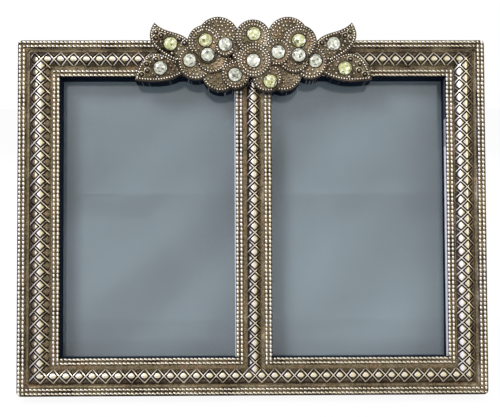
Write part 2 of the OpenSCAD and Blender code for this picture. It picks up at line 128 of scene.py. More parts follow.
class PHOTOFRAME_PG_finish(bpy.types.PropertyGroup):
    """Colours of the finishes, in linear light."""

    # Painted highlight: the bright colour is worn raised metal with a highlight painted on it; pale is a
    # painted reflection where metal slopes to the left, and dull is painted shade where it slopes to the
    # right
    bright: colour("Highlit metal", "Raised metal, rubbed bright", (0.66, 0.585, 0.405))
    pale: colour("Pale metal", "The same where it slopes to the left", (0.75, 0.715, 0.77))
    dull: colour("Dull metal", "The same where it slopes to the right", (0.21, 0.172, 0.095))
    metal: colour("Metal", "Antique metal at a middle height", (0.138, 0.108, 0.064))
    recess: colour("Recess", "Dark patina in the recesses", (0.009, 0.006, 0.004))
    copper: colour("Copper patina", "Brown stains in the patina", (0.165, 0.105, 0.060))
    # Painted shade and painted reflections: blue, olive and plum go on the slopes by the way each faces, blue
    # to the left, olive up and to the right, plum downwards
    blue: colour("Blue patina", "Patina on slopes to the left", (0.034, 0.032, 0.040))
    olive: colour("Olive patina", "Patina on slopes upwards and to the right", (0.118, 0.094, 0.050))
    plum: colour("Plum patina", "Patina on slopes downwards", (0.085, 0.058, 0.045))
    # Painted shade: the near-black colour of the deep walls of the windows and of the walls under the crest
    hollow: colour("Hollow", "Deep walls of the windows and under the crest", (0.003, 0.009, 0.022))
    # Painted reflection: the bright band on the window walls that face left and the light streaks on the
    # walls under the crest
    painted_glint: colour("Glinting wall", "Window walls that were wiped clean", (0.68, 0.67, 0.74))
    card: colour("Card", "Slate card behind the glass", (0.195, 0.233, 0.265))
    glass: colour("Glass", "Faint tint of the panes", (0.93, 0.97, 0.98))
    yellow: colour("Yellow stone", "Pale yellow stone", (0.40, 0.41, 0.18))
    clear: colour("Clear stone", "Clear stone", (0.42, 0.43, 0.35))
    velvet: colour("Velvet", "Facing of the board and the leg", (0.012, 0.012, 0.015))
    board: colour("Board", "Edge of the board and the leg", (0.17, 0.105, 0.055))
    steel: colour("Steel", "Turn-buttons, screws and hinge", (0.50, 0.47, 0.42))
    floor: colour("Floor", "Pale floor", (0.95, 0.95, 0.95))


def casting():
    """The casting's sizes."""
    return bpy.context.scene.photoframe_casting


def ornament():
    """The ornament's sizes."""
    return bpy.context.scene.photoframe_ornament


def finish():
    """The finishes' colours."""
    return bpy.context.scene.photoframe_finish


# ---- Placing: pieces are drawn in millimetres in the frame's own plane, x right, y up it, z to the front

def to_row():
    """Matrix from the frame's own plane, in millimetres, to the row frame, in metres."""
    c = casting()
    behind = c.height * math.sin(c.lean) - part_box("front_casting")[1].y
    return (Matrix.Translation((0, -behind, 0)) @ Matrix.Rotation(math.pi / 2 - c.lean, 4, "X")
            @ Matrix.Scale(MM, 4))


def mm(value):
    """A length property's value in millimetres."""
    return value / MM


def windows():
    """Middle of each window, in millimetres: left, then right."""
    c = casting()
    reach = mm(c.mullion + c.window_w) / 2
    y = mm(c.bottom_rail + c.window_h / 2)
    return (("left", mm(c.shift) - reach, y), ("right", mm(c.shift) + reach, y))


# How much a place seems to slope more for each millimetre from the centre, so that the painted reflections
# and painted shade drift over the frame as real reflections do
SHEEN_DRIFT = 0.0019
SHEEN_CENTRE = (0.0, 60.0)


def sheen(normal, place):
    """How far a place seems to slope right and up, with the drift of the painted reflections over the frame.
    """
    return [normal[k] + SHEEN_DRIFT * (place[k] - SHEEN_CENTRE[k]) for k in (0, 1)]


def to_mesh(bm, name):
    """Makes a mesh of bm and frees it."""
    mesh = bpy.data.meshes.new(name)
    bm.to_mesh(mesh)
    bm.free()
    return mesh


def add_object(name, data):
    """A new object with that data, in the scene."""
    made = bpy.data.objects.new(name, data)
    bpy.context.scene.collection.objects.link(made)
    return made


def mesh_piece(bm, name, material, slot, replaces=(), smooth=40, per_face=False):
    """Makes a finished object of bm, in the row frame, riding on the frame's body."""
    bm.normal_update()
    items = bm.faces if per_face else bm.verts
    # The side, rise and facing masks steer the painted shade, reflections and highlights of the patina
    side, rise, facing = (items.layers.float.new(key) for key in ("side", "rise", "facing"))
    for item in items:
        item[side], item[rise] = sheen(item.normal, item.calc_center_median() if per_face else item.co)
        item[facing] = item.normal.z
    bm.transform(to_row())
    mesh = to_mesh(bm, name)
    mesh.materials.append(material)
    if smooth:
        mesh.shade_smooth()
        mesh.set_sharp_from_angle(angle=math.radians(smooth))
    piece = add_object(name, mesh)
    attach(piece, "frame")
    if replaces:
        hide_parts(*replaces)


def add_mesh(bm, other):
    """Adds the bmesh other to bm and frees it."""
    mesh = to_mesh(other, "joined")
    bm.from_mesh(mesh)
    bpy.data.meshes.remove(mesh)


def cast_piece(bm, name, *options):
    """Makes an object of cast metal of bm; options are mesh_piece's last ones."""
    mesh_piece(bm, name, antique_metal(), "cast_metal", *options)


def scatter(bm, shape, places):
    """Adds a copy of the mesh called shape at each of the matrices in places."""
    for place in places:
        copy = shape.copy()
        copy.transform(place)
        bm.from_mesh(copy)
        bpy.data.meshes.remove(copy)


def only(kind, items):
    """Those of the items that are of that bmesh kind."""
    return [item for item in items if isinstance(item, kind)]


def close_holes(bm):
    """Fills every open boundary of bm; returns the new faces."""
    return bmesh.ops.holes_fill(bm, edges=[e for e in bm.edges if e.is_boundary])["faces"]


def slice_plane(bm, place, normal, clear=False, fill=False):
    """Cuts bm along a plane; clear takes off the side to which normal points, and fill closes the cut."""
    cut = bmesh.ops.bisect_plane(bm, geom=bm.verts[:] + bm.edges[:] + bm.faces[:], dist=MERGE_DISTANCE,
                                 plane_co=place, plane_no=normal, clear_outer=clear)
    if fill:
        bmesh.ops.holes_fill(bm, edges=only(bmesh.types.BMEdge, cut["geom_cut"]))


def block(bm, size, centre):
    """A block of that size round centre; returns its vertices."""
    place = Matrix.Translation(centre) @ Matrix.Diagonal((*size, 1))
    return bmesh.ops.create_cube(bm, size=1.0, matrix=place)["verts"]


def flared_block(size, centre, flare, right=None):
    """A box that widens upwards by flare on either side of size, or by right on that side."""
    bm = bmesh.new()
    for v in block(bm, size, centre):
        way = 1 if v.co.z > centre[2] else -1
        for k in (0, 1):
            out = math.copysign(1, v.co[k] - centre[k])
            v.co[k] += way * out * (right if right and k == 0 and out > 0 else flare)
    return bm


def box_edges(verts, direction):
    """The edges of those vertices that run along direction."""
    edges = {e for v in verts for e in v.link_edges}
    return [e for e in edges
            if abs((e.verts[0].co - e.verts[1].co).normalized().dot(direction)) > NEARLY_ONE]


def rounded_block(size, centre, radius, edge=0.0):
    """A bmesh block with round corners in plan and, with edge, a round front edge."""
    bm = bmesh.new()
    verts = block(bm, size, centre)
    rounding = {"profile": 0.5, "affect": "EDGES", "material": -1}
    bmesh.ops.bevel(bm, geom=box_edges(verts, Vector((0, 0, 1))), offset=radius, segments=6, **rounding)
    if edge:
        top = max(v.co.z for v in bm.verts) - 10 * MERGE_DISTANCE
        rim = [e for e in bm.edges if all(v.co.z > top for v in e.verts)]
        bmesh.ops.bevel(bm, geom=rim, offset=edge, segments=4, **rounding)
    return bm


def cut_out(bm, cutters):
    """Returns a bmesh of bm with the cutter bmeshes taken out of it."""
    made = []
    for k, source in enumerate([bm, *cutters]):
        name = f"blank_{k}"
        made.append(add_object(name, to_mesh(source, name)))
    for cutter in made[1:]:
        modifier = made[0].modifiers.new(cutter.name, "BOOLEAN")
        modifier.operation, modifier.object, modifier.solver = "DIFFERENCE", cutter, "EXACT"
    bpy.context.view_layer.update()
    result = bmesh.new()
    result.from_object(made[0], bpy.context.evaluated_depsgraph_get())
    for blank in made:
        mesh = blank.data
        bpy.data.objects.remove(blank)
        bpy.data.meshes.remove(mesh)
    return result


def set_attribute(bm, name, value_at):
    """Writes the attribute called name on every vertex, from value_at(vertex)."""
    layer = bm.verts.layers.float.new(name)
    for v in bm.verts:
        v[layer] = value_at(v)


def shape_of(bm, name, raised_at):
    """A mesh of bm to be scattered, with its raised attribute from raised_at(vertex)."""
    set_attribute(bm, "raised", raised_at)
    return to_mesh(bm, name)


def small_ball():
    """A bmesh ball of diameter 1 with few faces."""
    bm = bmesh.new()
    bmesh.ops.create_uvsphere(bm, u_segments=8, v_segments=6, radius=0.5)
    return bm


def spun_ring(radius, thickness, sides, steps):
    """A bmesh ring about the z axis; radius is that of its middle line, thickness that of its section."""
    bm = bmesh.new()
    place = Matrix.Translation((radius, 0, 0)) @ Matrix.Rotation(math.pi / 2, 4, "X")
    made = bmesh.ops.create_circle(bm, segments=sides, radius=thickness, cap_ends=False, matrix=place)
    section = made["verts"]
    edges = list({e for v in section for e in v.link_edges})
    bmesh.ops.spin(bm, geom=section + edges, cent=(0, 0, 0), axis=(0, 0, 1), angle=2 * math.pi,
                   steps=steps, use_merge=True)
    bmesh.ops.recalc_face_normals(bm, faces=bm.faces)
    return bm


def ramp_between(value, low, high):
    """0 at low, 1 at high, and smooth between them."""
    t = min(1.0, max(0.0, (value - low) / (high - low)))
    return t * t * (3 - 2 * t)


def below(value, limit, blur):
    """1 below the limit and 0 above it, smooth over blur on either side."""
    return 1 - ramp_between(value, limit - blur, limit + blur)


# ---- Finishes

def node(tree, kind, inputs=(), **settings):
    """A new node; inputs maps a socket's name or number to a value or to another node's output."""
    made = tree.nodes.new(kind)
    for key, value in settings.items():
        setattr(made, key, value)
    for key, value in dict(inputs).items():
        if isinstance(value, bpy.types.NodeSocket):
            tree.links.new(value, made.inputs[key])
        else:
            made.inputs[key].default_value = value
    return made


def new_material(name, inputs=()):
    """A material with one Principled shader and its constant inputs; returns it, its nodes and the shader."""
    material = bpy.data.materials.new(name)
    material.use_nodes = True
    tree = material.node_tree
    tree.nodes.clear()
    shader = node(tree, "ShaderNodeBsdfPrincipled", inputs)
    node(tree, "ShaderNodeOutputMaterial", {"Surface": shader.outputs["BSDF"]})
    return material, tree, shader


def feed(target, **sockets):
    """Links sockets to a node's inputs; a keyword is the input's name with _ for its space."""
    for key, socket in sockets.items():
        target.id_data.links.new(socket, target.inputs[key.replace("_", " ")])


def mix(tree, factor, a, b):
    """Colour output of a mix of a and b; both are sockets or colours of three numbers."""
    made = node(tree, "ShaderNodeMix", data_type="RGBA")
    for index, value in ((0, factor), (6, a), (7, b)):
        if isinstance(value, bpy.types.NodeSocket):
            tree.links.new(value, made.inputs[index])
        else:
            made.inputs[index].default_value = value if index == 0 else (*value, 1.0)
    return made.outputs[2]


def maths(tree, operation, a, b):
    """Output of one maths node."""
    return node(tree, "ShaderNodeMath", {0: a, 1: b}, operation=operation).outputs[0]


def grade(tree, value, low, high, out_low=0.0, out_high=1.0):
    """Output of a smooth, clamped map of value from low..high to out_low..out_high."""
    return node(tree, "ShaderNodeMapRange", {"Value": value, "From Min": low, "From Max": high,
                "To Min": out_low, "To Max": out_high}, interpolation_type="SMOOTHSTEP").outputs[0]


def place_of(tree):
    """Object coordinates of the shaded point."""
    return tree.nodes.new("ShaderNodeTexCoord").outputs["Object"]


def noise(tree, position, scale, detail=3.0):
    """Output of a noise over position, with scale in cells a metre."""
    made = node(tree, "ShaderNodeTexNoise", {"Vector": position, "Scale": scale, "Detail": detail})
    return made.outputs["Fac"]


def new_group(name, inputs, outputs):
    """A shader node group; inputs and outputs are (name, socket kind)."""
    tree = bpy.data.node_groups.new(name, "ShaderNodeTree")
    for direction, sockets in (("INPUT", inputs), ("OUTPUT", outputs)):
        for label, kind in sockets:
            tree.interface.new_socket(label, in_out=direction, socket_type=kind)
    return tree, tree.nodes.new("NodeGroupInput"), tree.nodes.new("NodeGroupOutput")


# Colours and masks of the patina and of the painted light over it; Facing, Side and Rise steer the painted
# shade and reflections on the slopes
PATINA_AND_PAINTED_LIGHT_COLOURS = ("Bright", "Pale", "Dull", "Metal", "Recess", "Copper", "Blue", "Olive", "Plum")
PATINA_AND_PAINTED_LIGHT_MASKS = ("Raised", "Facing", "Side", "Rise")


def patina_and_painted_light_group():
    """Antique patina: dark in the recesses, with random brown stains, painted shade on the slopes by the way
    they face, and worn metal with a painted highlight where it stands up.
    """
    found = bpy.data.node_groups.get("antique_patina_and_painted_light")
    if found:
        return found
    colours = [(name, "NodeSocketColor") for name in PATINA_AND_PAINTED_LIGHT_COLOURS]
    values = [(name, "NodeSocketFloat") for name in (*PATINA_AND_PAINTED_LIGHT_MASKS, "Unevenness")]
    tree, given, result = new_group("antique_patina_and_painted_light", values + colours,
                                    [("Color", "NodeSocketColor"), ("Roughness", "NodeSocketFloat"),
                                     ("Height", "NodeSocketFloat")])
    take = given.outputs
    place = place_of(tree)
    broad = maths(tree, "SUBTRACT", noise(tree, place, 190.0), 0.5)
    fine = maths(tree, "SUBTRACT", noise(tree, place, 1500.0), 0.5)
    rough = maths(tree, "ADD", maths(tree, "MULTIPLY", broad, 2.0), fine)
    level = maths(tree, "ADD", take["Raised"], maths(tree, "MULTIPLY", rough, take["Unevenness"]))
    stain = maths(tree, "MULTIPLY", grade(tree, noise(tree, place, 260.0, 2.0), 0.5, 0.66), 0.7)
    speckle = grade(tree, noise(tree, place, 2600.0, 2.0), 0.36, 0.64, 0.62, 1.42)
    body = mix(tree, stain, take["Metal"], take["Copper"])
    # Painted shade on the slopes, the more the steeper: blue where they face left, plum where they face down,
    # olive elsewhere
    left = mix(tree, grade(tree, take["Side"], -0.45, -0.1), take["Blue"], take["Olive"])
    slope = mix(tree, grade(tree, take["Rise"], -0.4, -0.1), take["Plum"], left)
    facing = maths(tree, "ADD", take["Facing"], maths(tree, "MULTIPLY", broad, 0.2))
    steep = grade(tree, facing, 0.62, 0.95, 0.9, 0.0)
    ground = node(tree, "ShaderNodeVectorMath", {0: mix(tree, steep, body, slope), "Scale": speckle},
                  operation="SCALE")
    low = mix(tree, grade(tree, level, 0.02, 0.3), take["Recess"], ground.outputs[0])
    # Painted highlight on the worn metal: pale, a painted reflection, where it slopes to the left, and dull,
    # painted shade, where it slopes to the right
    gleam = mix(tree, grade(tree, take["Side"], -0.3, -0.08), take["Pale"], take["Bright"])
    gleam = mix(tree, grade(tree, take["Side"], 0.12, 0.5), gleam, take["Dull"])
    matt = maths(tree, "ADD", grade(tree, level, 0.2, 0.9, 0.6, 0.34), maths(tree, "MULTIPLY", fine, 0.15))
    feed(result, Color=mix(tree, grade(tree, level, 0.42, 0.85), low, gleam), Roughness=matt, Height=rough)
    return tree


def attribute(tree, name):
    """Value of a mesh attribute."""
    made = tree.nodes.new("ShaderNodeAttribute")
    made.attribute_name = name
    return made.outputs["Fac"]


def bump(tree, shader, height, strength, distance):
    """Feeds a bump of that height to the shader's normal."""
    made = node(tree, "ShaderNodeBump", {"Height": height, "Strength": strength, "Distance": distance})
    feed(shader, Normal=made.outputs["Normal"])


def show_over(tree, shader, other, factor):
    """Lets the output show other instead of shader, by that factor."""
    both = node(tree, "ShaderNodeMixShader", {0: factor, 1: shader.outputs[0], 2: other.outputs[0]})
    feed(next(n for n in tree.nodes if n.type == "OUTPUT_MATERIAL"), Surface=both.outputs[0])


def scaled(tint, factor, plus=0.0):
    """A colour times factor, plus a grey, kept at or below white."""
    return tuple(min(1.0, factor * c + plus) for c in tint)


def antique_metal():
    """Cast metal with the patina and its painted light over its masks, near-black painted shade on the deep
    walls, painted light streaks on the walls under the crest, and a painted reflection on the window walls
    that face left.
    """
    found = bpy.data.materials.get("antique_metal")
    if found:
        return found
    f = finish()
    material, tree, shader = new_material("antique_metal")
    placed = node(tree, "ShaderNodeGroup", node_tree=patina_and_painted_light_group())
    for name in PATINA_AND_PAINTED_LIGHT_COLOURS:
        placed.inputs[name].default_value = (*getattr(f, name.lower()), 1.0)
    placed.inputs["Unevenness"].default_value = 0.32
    for name in PATINA_AND_PAINTED_LIGHT_MASKS:
        tree.links.new(attribute(tree, name.lower()), placed.inputs[name])
    hollow, painted_gleam, painted_streak = (attribute(tree, name) for name in ("hollow", "painted_gleam", "painted_streak"))
    # Painted shade: the deep walls go near black; painted light: the streaks under the crest and the band on
    # the window walls that face left take the glinting colour, and are less metallic there
    painted_wall_shade = mix(tree, hollow, placed.outputs["Color"], f.hollow)
    painted_streaks = maths(tree, "MULTIPLY", grade(tree, painted_streak, 0.72, 1.0, 0.0, 0.5), hollow)
    shade = mix(tree, maths(tree, "MAXIMUM", painted_gleam, painted_streaks), painted_wall_shade, f.painted_glint)
    feed(shader, Base_Color=shade, Roughness=maths(tree, "MAXIMUM", placed.outputs["Roughness"], hollow),
         Metallic=grade(tree, painted_gleam, 0.0, 1.0, 0.85, 0.1))
    bump(tree, shader, placed.outputs["Height"], 0.25, 0.00004)
    return material


def stone_glass(name, tint):
    """Foil-backed cut glass: each facet is painted with its own share of the light, a painted reflection from
    dark to bright.
    """
    material, tree, shader = new_material(name, {"Metallic": 0.1, "Roughness": 0.12, "Coat Weight": 0.5,
                                                 "Coat Roughness": 0.03})
    facet = attribute(tree, "facet")
    base = mix(tree, grade(tree, facet, 0.05, 0.45), scaled(tint, 0.16), tint)
    feed(shader, Base_Color=mix(tree, grade(tree, facet, 0.62, 0.95), base, scaled(tint, 0.5, 0.55)))
    return material


# A little over that of plain glass, for the sheen of the panes
PANE_IOR = 1.62


def pane_glass():
    """Clear glass with faint dust; shadow rays pass, so that the card behind it is lit."""
    tint = (*finish().glass, 1.0)
    material, tree, shader = new_material("pane_glass", {"Base Color": tint, "Transmission Weight": 1.0,
                                                         "IOR": PANE_IOR})
    place = place_of(tree)
    dust = grade(tree, noise(tree, place, 900.0, 6.0), 0.62, 0.8, 0.0, 0.03)
    feed(shader, Roughness=dust)
    clear = node(tree, "ShaderNodeBsdfTransparent", {"Color": tint})
    path = tree.nodes.new("ShaderNodeLightPath").outputs
    show_over(tree, shader, clear, maths(tree, "MAXIMUM", path["Is Shadow Ray"], path["Is Diffuse Ray"]))
    return material


# The painted reflection on the card, in soft slanting clouds: their turn about y, and their size in metres
CLOUD_TURN = (0.0, -0.7, 0.0)
CLOUD_SIZE = (0.09, 0.09, 0.026)


def slate_card():
    """Slate-coloured insert card, with soft slanting clouds on its colour as a painted reflection, the sheen
    of the glass in front of it.
    """
    material, tree, shader = new_material("slate_card", {"Roughness": 0.7})
    place = place_of(tree)
    f = finish()
    slanted = node(tree, "ShaderNodeMapping",
                   {"Vector": place, "Rotation": CLOUD_TURN, "Scale": CLOUD_SIZE}, vector_type="TEXTURE")
    painted_sheen = grade(tree, noise(tree, slanted.outputs[0], 1.0, 1.0), 0.3, 0.7)
    feed(shader, Base_Color=mix(tree, painted_sheen, scaled(f.card, 0.62), f.card))
    bump(tree, shader, noise(tree, place, 3000.0), 0.05, 0.00001)
    return material


def velvet_facing():
    """Short-pile velvet of the back."""
    material, tree, shader = new_material("velvet_facing", {"Roughness": 0.95, "Sheen Weight": 0.6,
                                                            "Sheen Roughness": 0.4})
    place = place_of(tree)
    pile = noise(tree, place, 4000.0, 2.0)
    sweep = grade(tree, noise(tree, place, 60.0, 2.0), 0.3, 0.7)
    f = finish()
    brushed = maths(tree, "MULTIPLY", pile, sweep)
    feed(shader, Base_Color=mix(tree, brushed, f.velvet, scaled(f.velvet, 2.4, 0.008)))
    bump(tree, shader, pile, 0.6, 0.0002)
    return material


def fibre_board():
    """Brown fibreboard with short fibres."""
    material, tree, shader = new_material("fibre_board", {"Roughness": 0.8})
    place = place_of(tree)
    fibres = noise(tree, place, 1800.0, 6.0)
    f = finish()
    feed(shader, Base_Color=mix(tree, fibres, scaled(f.board, 0.6), scaled(f.board, 1.5)))
    bump(tree, shader, fibres, 0.4, 0.0001)
    return material


def hinge_steel():
    """Plated steel with fine rolling marks and dull spots."""
    material, tree, shader = new_material("hinge_steel", {"Metallic": 1.0})
    place = place_of(tree)
    f = finish()
    stretched = node(tree, "ShaderNodeMapping", {"Vector": place, "Scale": (300.0, 4000.0, 4000.0)})
    marks = noise(tree, stretched.outputs[0], 1.0, 2.0)
    spots = grade(tree, noise(tree, place, 500.0), 0.35, 0.7)
    feed(shader, Base_Color=mix(tree, spots, scaled(f.steel, 0.55), f.steel),
         Roughness=maths(tree, "ADD", maths(tree, "MULTIPLY", marks, 0.15), 0.27))
    bump(tree, shader, marks, 0.15, 0.00004)
    return material


# ---- Cast front

# A crossing of two ridges, in the casting's plane
LATTICE_CROSSING = (-52.84, 84.41)
# Each step inwards from a cell's edge: its width, and then how far it is line and stud
LATTICE_STEPS = ((0.1, 1, 0), (0.05, 0, 0), (0.28, 0, 0), (0.05, 0, 0.9), (0.3, 0, 1), (0.2, 0, 1))
# Heights of lines and studs over the dome, and depth of the grooves
LINE_RISE, STUD_RISE, GROOVE_DEPTH = 0.16, 0.15, 0.10
# The dome's section is a sine to this power, which makes it full
DOME_POWER = 0.72
# Shares of a rail's width at which it is cut into facets, closer where it is steep
DOME_CUTS = (0.004, 0.02, 0.05, 0.09, 0.13, 0.18, 0.23, 0.28, 0.33, 0.38, 0.44, 0.5, 0.56, 0.62, 0.67,
             0.72, 0.77, 0.82, 0.87, 0.91, 0.95, 0.98, 0.996)
# Slopes are read as on a rail of this width, for the painted highlights and painted shade
SHEEN_WIDTH = 5.0
# How steep a slope may be before its studs lose their painted highlight and go dark, and how soft that limit
# is:
# up or down, and to the right and the left, where it drifts over the frame
RISE_LIMIT, RISE_BLUR = 0.26, 0.07
RIGHT_LIMIT, RIGHT_DRIFT, RIGHT_BLUR = 0.322, -0.0007, 0.03
LEFT_LIMIT, LEFT_DRIFT, LEFT_BEND, LEFT_BLUR = 0.52, 0.006, 0.00006, 0.05
# How bright the metal between lines and studs is, what a worn line or stud adds with its painted highlight,
# the share of a line's that its own direction gives through its painted shade, and how far the grooves are
# darker in the patina, with what a steep slope takes back as painted light
RAIL_GROUND, RAIL_GAIN, LINE_SHARE = 0.3, 0.7, 0.6
GROOVE_SHADE, SLOPE_SHADE = 0.42, 0.24
# Distance, as a share of the width, over which a slope is measured
SLOPE_STEP = 0.01
# How far a rail's foot is sunk into the casting's body, and its level in the patina, which keeps it dark
RAIL_FOOT, FOOT_RAISED = 0.6, 0.1


def dome_height(share):
    """Height of a rail over the bead level at a share of its width."""
    return mm(casting().dome) * math.sin(math.pi * min(1.0, max(0.0, share))) ** DOME_POWER


def lattice_sheet(low, high):
    """A flat sheet of diamond cells over that rectangle, with its lines and studs as attributes."""
    pitch = mm(ornament().lattice_pitch)
    side = pitch / math.sqrt(2)
    middle = [LATTICE_CROSSING[k] + pitch * round(((low[k] + high[k]) / 2 - LATTICE_CROSSING[k]) / pitch)
              for k in (0, 1)]
    count = 2 * math.ceil(max(high[0] - low[0], high[1] - low[1]) * 0.75 / side + 2)
    bm = bmesh.new()
    bmesh.ops.create_grid(bm, x_segments=count, y_segments=count, size=count * side / 2,
                          matrix=Matrix.Translation((*middle, 0)) @ Matrix.Rotation(math.pi / 4, 4, "Z"))
    outside = [face for face in bm.faces
               if any(not low[k] - pitch < face.calc_center_median()[k] < high[k] + pitch for k in (0, 1))]
    bmesh.ops.delete(bm, geom=outside, context="FACES")
    line, stud = (bm.verts.layers.float.new(key) for key in ("line", "stud"))
    for v in bm.verts:
        v[line] = 1.0
    cells = list(bm.faces)
    for thickness, is_line, is_stud in LATTICE_STEPS:
        before = set(bm.verts)
        bmesh.ops.inset_individual(bm, faces=cells, thickness=thickness, use_even_offset=True)
        for v in set(bm.verts) - before:
            v[line], v[stud] = is_line, is_stud
    return bm


def ridge_way(x, y):
    """1 on a ridge that climbs to the right, -1 on one that falls, and between them near a crossing."""
    pitch = mm(ornament().lattice_pitch)
    x, y = (x - LATTICE_CROSSING[0]) / pitch, (y - LATTICE_CROSSING[1]) / pitch
    climb, fall = (abs(k - round(k)) for k in (x - y, x + y))
    return (fall - climb) / max(climb, fall, 0.01)


def slope_at(share, width):
    """Slope of a rail at a share of its width."""
    before, after = max(0.0, share - SLOPE_STEP), min(1.0, share + SLOPE_STEP)
    return (dome_height(after) - dome_height(before)) / ((after - before) * width)


def painted_highlight(place, side, rise):
    """How strong the painted highlight on a stud at that place is, where the rail leans to the side and up by
    so much; past the limits of slope the stud gets none.
    """
    left_limit = LEFT_LIMIT + LEFT_DRIFT * place.x + LEFT_BEND * place.x ** 2
    right_limit = RIGHT_LIMIT + RIGHT_DRIFT * place.x
    return below(-side, left_limit, LEFT_BLUR) * below(side, right_limit, RIGHT_BLUR) \
        * below(abs(rise), RISE_LIMIT, RISE_BLUR)


def rail(start, along, span, width, mitres):
    """A domed rail as a bmesh. start is its outer corner, along its direction; the window is on its left."""
    along, start = Vector((*along, 0)), Vector((*start, 0))
    across = Vector((-along.y, along.x, 0))
    corners = [start, start + along * span, start + along * (span - mitres[1]) + across * width,
               start + along * mitres[0] + across * width]
    low = [min(p[k] for p in corners) for k in (0, 1)]
    high = [max(p[k] for p in corners) for k in (0, 1)]
    bm = lattice_sheet(low, high)
    for a, b in zip(corners, corners[1:] + corners[:1]):
        slice_plane(bm, a, Vector((b.y - a.y, a.x - b.x, 0)).normalized(), clear=True)
    for share in DOME_CUTS:
        slice_plane(bm, start + across * width * share, across)
    raised = bm.verts.layers.float.new("raised")
    line, stud = (bm.verts.layers.float[key] for key in ("line", "stud"))
    ground, dome = mm(casting().bead_z), mm(casting().dome)
    for v in bm.verts:
        share = min(1.0, max(0.0, (v.co - start).dot(across) / width))
        height, slope = dome_height(share), slope_at(share, width)
        lean = 1 / math.sqrt(1 + slope * slope)
        seen = slope * width / SHEEN_WIDTH
        side, rise, _ = across * -seen / math.sqrt(1 + seen * seen)
        rise += SHEEN_DRIFT * (v.co.y - SHEEN_CENTRE[1])
        # Painted light: studs and lines get a painted highlight only where the seeming slope is gentle, and
        # on a steep side the lines that climb outwards get painted shade
        worn_and_lit = painted_highlight(v.co, side, rise)
        painted_line_shade = ramp_between(ridge_way(v.co.x, v.co.y) * math.copysign(1, side), 0.0, 0.4) \
            * ramp_between(abs(side), 0.2, 0.4)
        lined = v[line] * ramp_between(height / dome, 0.0, 0.22)
        studded = v[stud] * ramp_between(height / dome, 0.2, 0.7)
        hollow = max(0.0, 1 - v[line] - v[stud]) * ramp_between(height / dome, 0.1, 0.5)
        relief = LINE_RISE * lined + STUD_RISE * studded - GROOVE_DEPTH * hollow
        lit = LINE_SHARE * (1 - painted_line_shade) + (1 - LINE_SHARE) * worn_and_lit
        v[raised] = RAIL_GROUND + RAIL_GAIN * max(lined * lit, studded * worn_and_lit) \
            - hollow * (GROOVE_SHADE - SLOPE_SHADE * ramp_between(abs(rise), 0.3, 0.5))
        v.co = v.co - across * slope * lean * relief
        v.co.z = ground + height * (1 - LINE_RISE / dome) + lean * relief
    skirt = bmesh.ops.extrude_edge_only(bm, edges=[e for e in bm.edges if e.is_boundary])["geom"]
    for v in only(bmesh.types.BMVert, skirt):
        v.co.z, v[raised] = ground - RAIL_FOOT, FOOT_RAISED
    close_holes(bm)
    bmesh.ops.recalc_face_normals(bm, faces=bm.faces)
    return bm


def cove_bars():
    """The four mitred bars that cut the cove round the outside of the moulding."""
    c = casting()
    w, d = mm(c.cove_w), mm(c.cove)
    radius = (w * w / 4 + d * d) / (2 * d)
    inset = mm(c.border) + w / 2
    half = (mm(c.width) / 2 - inset, mm(c.height) / 2 - inset)
    middle = Vector((0, mm(c.height) / 2, mm(c.bead_z) + radius - d))
    bars = []
    for k in range(4):
        turn = Matrix.Rotation(math.pi / 2 * k, 3, "Z")
        along, out = half[k % 2], half[1 - k % 2]
        bm = bmesh.new()
        bmesh.ops.create_cone(bm, cap_ends=True, segments=32, radius1=radius, radius2=radius,
                              depth=2 * along + 4 * radius, matrix=Matrix.Rotation(math.pi / 2, 4, "Y"))
        bmesh.ops.translate(bm, verts=bm.verts, vec=(0, -out, 0))
        for way in (-1, 1):
            slice_plane(bm, (way * along, -out, 0), (way, -1, 0), clear=True, fill=True)
        bmesh.ops.rotate(bm, verts=bm.verts, cent=(0, 0, 0), matrix=turn)
        bmesh.ops.translate(bm, verts=bm.verts, vec=middle)
        bmesh.ops.recalc_face_normals(bm, faces=bm.faces)
        bars.append(bm)
    return bars


# How bright the casting's faces are in the patina: round the outer edge, under the beads, in the cove with
# what its slope to the window adds as painted light, and on the flats at the top, at the bottom and between
# them, the top flat darker as painted shade and the bottom one lighter as painted light
EDGE_RAISED, BEAD_GROUND = 0.1, 0.2
COVE_RAISED, COVE_SLOPE = 0.34, 0.25
FLAT_TOP, FLAT_BOTTOM, FLAT_SIDE = 0.19, 0.34, 0.4
# On the window walls that face left, the painted reflection stays off up to this share of their depth, where
# the near-black painted shade stays, and fades between these distances from the top
WALL_FOOT = 0.5
FADE = (20.0, 27.0)
# How strong that painted reflection is: full, half and faint
FULL_GLEAM, HALF_GLEAM, FAINT_GLEAM = 0.95, 0.5, 0.1


def painted_wall_gleam(x, y, z, foot, fade):
    """How strong the painted reflection is on a window wall that faces left."""
    if x < 0:
        return FULL_GLEAM
    if z < foot:
        return 0.0
    return FULL_GLEAM if y < fade[1] else HALF_GLEAM if y < fade[0] else FAINT_GLEAM


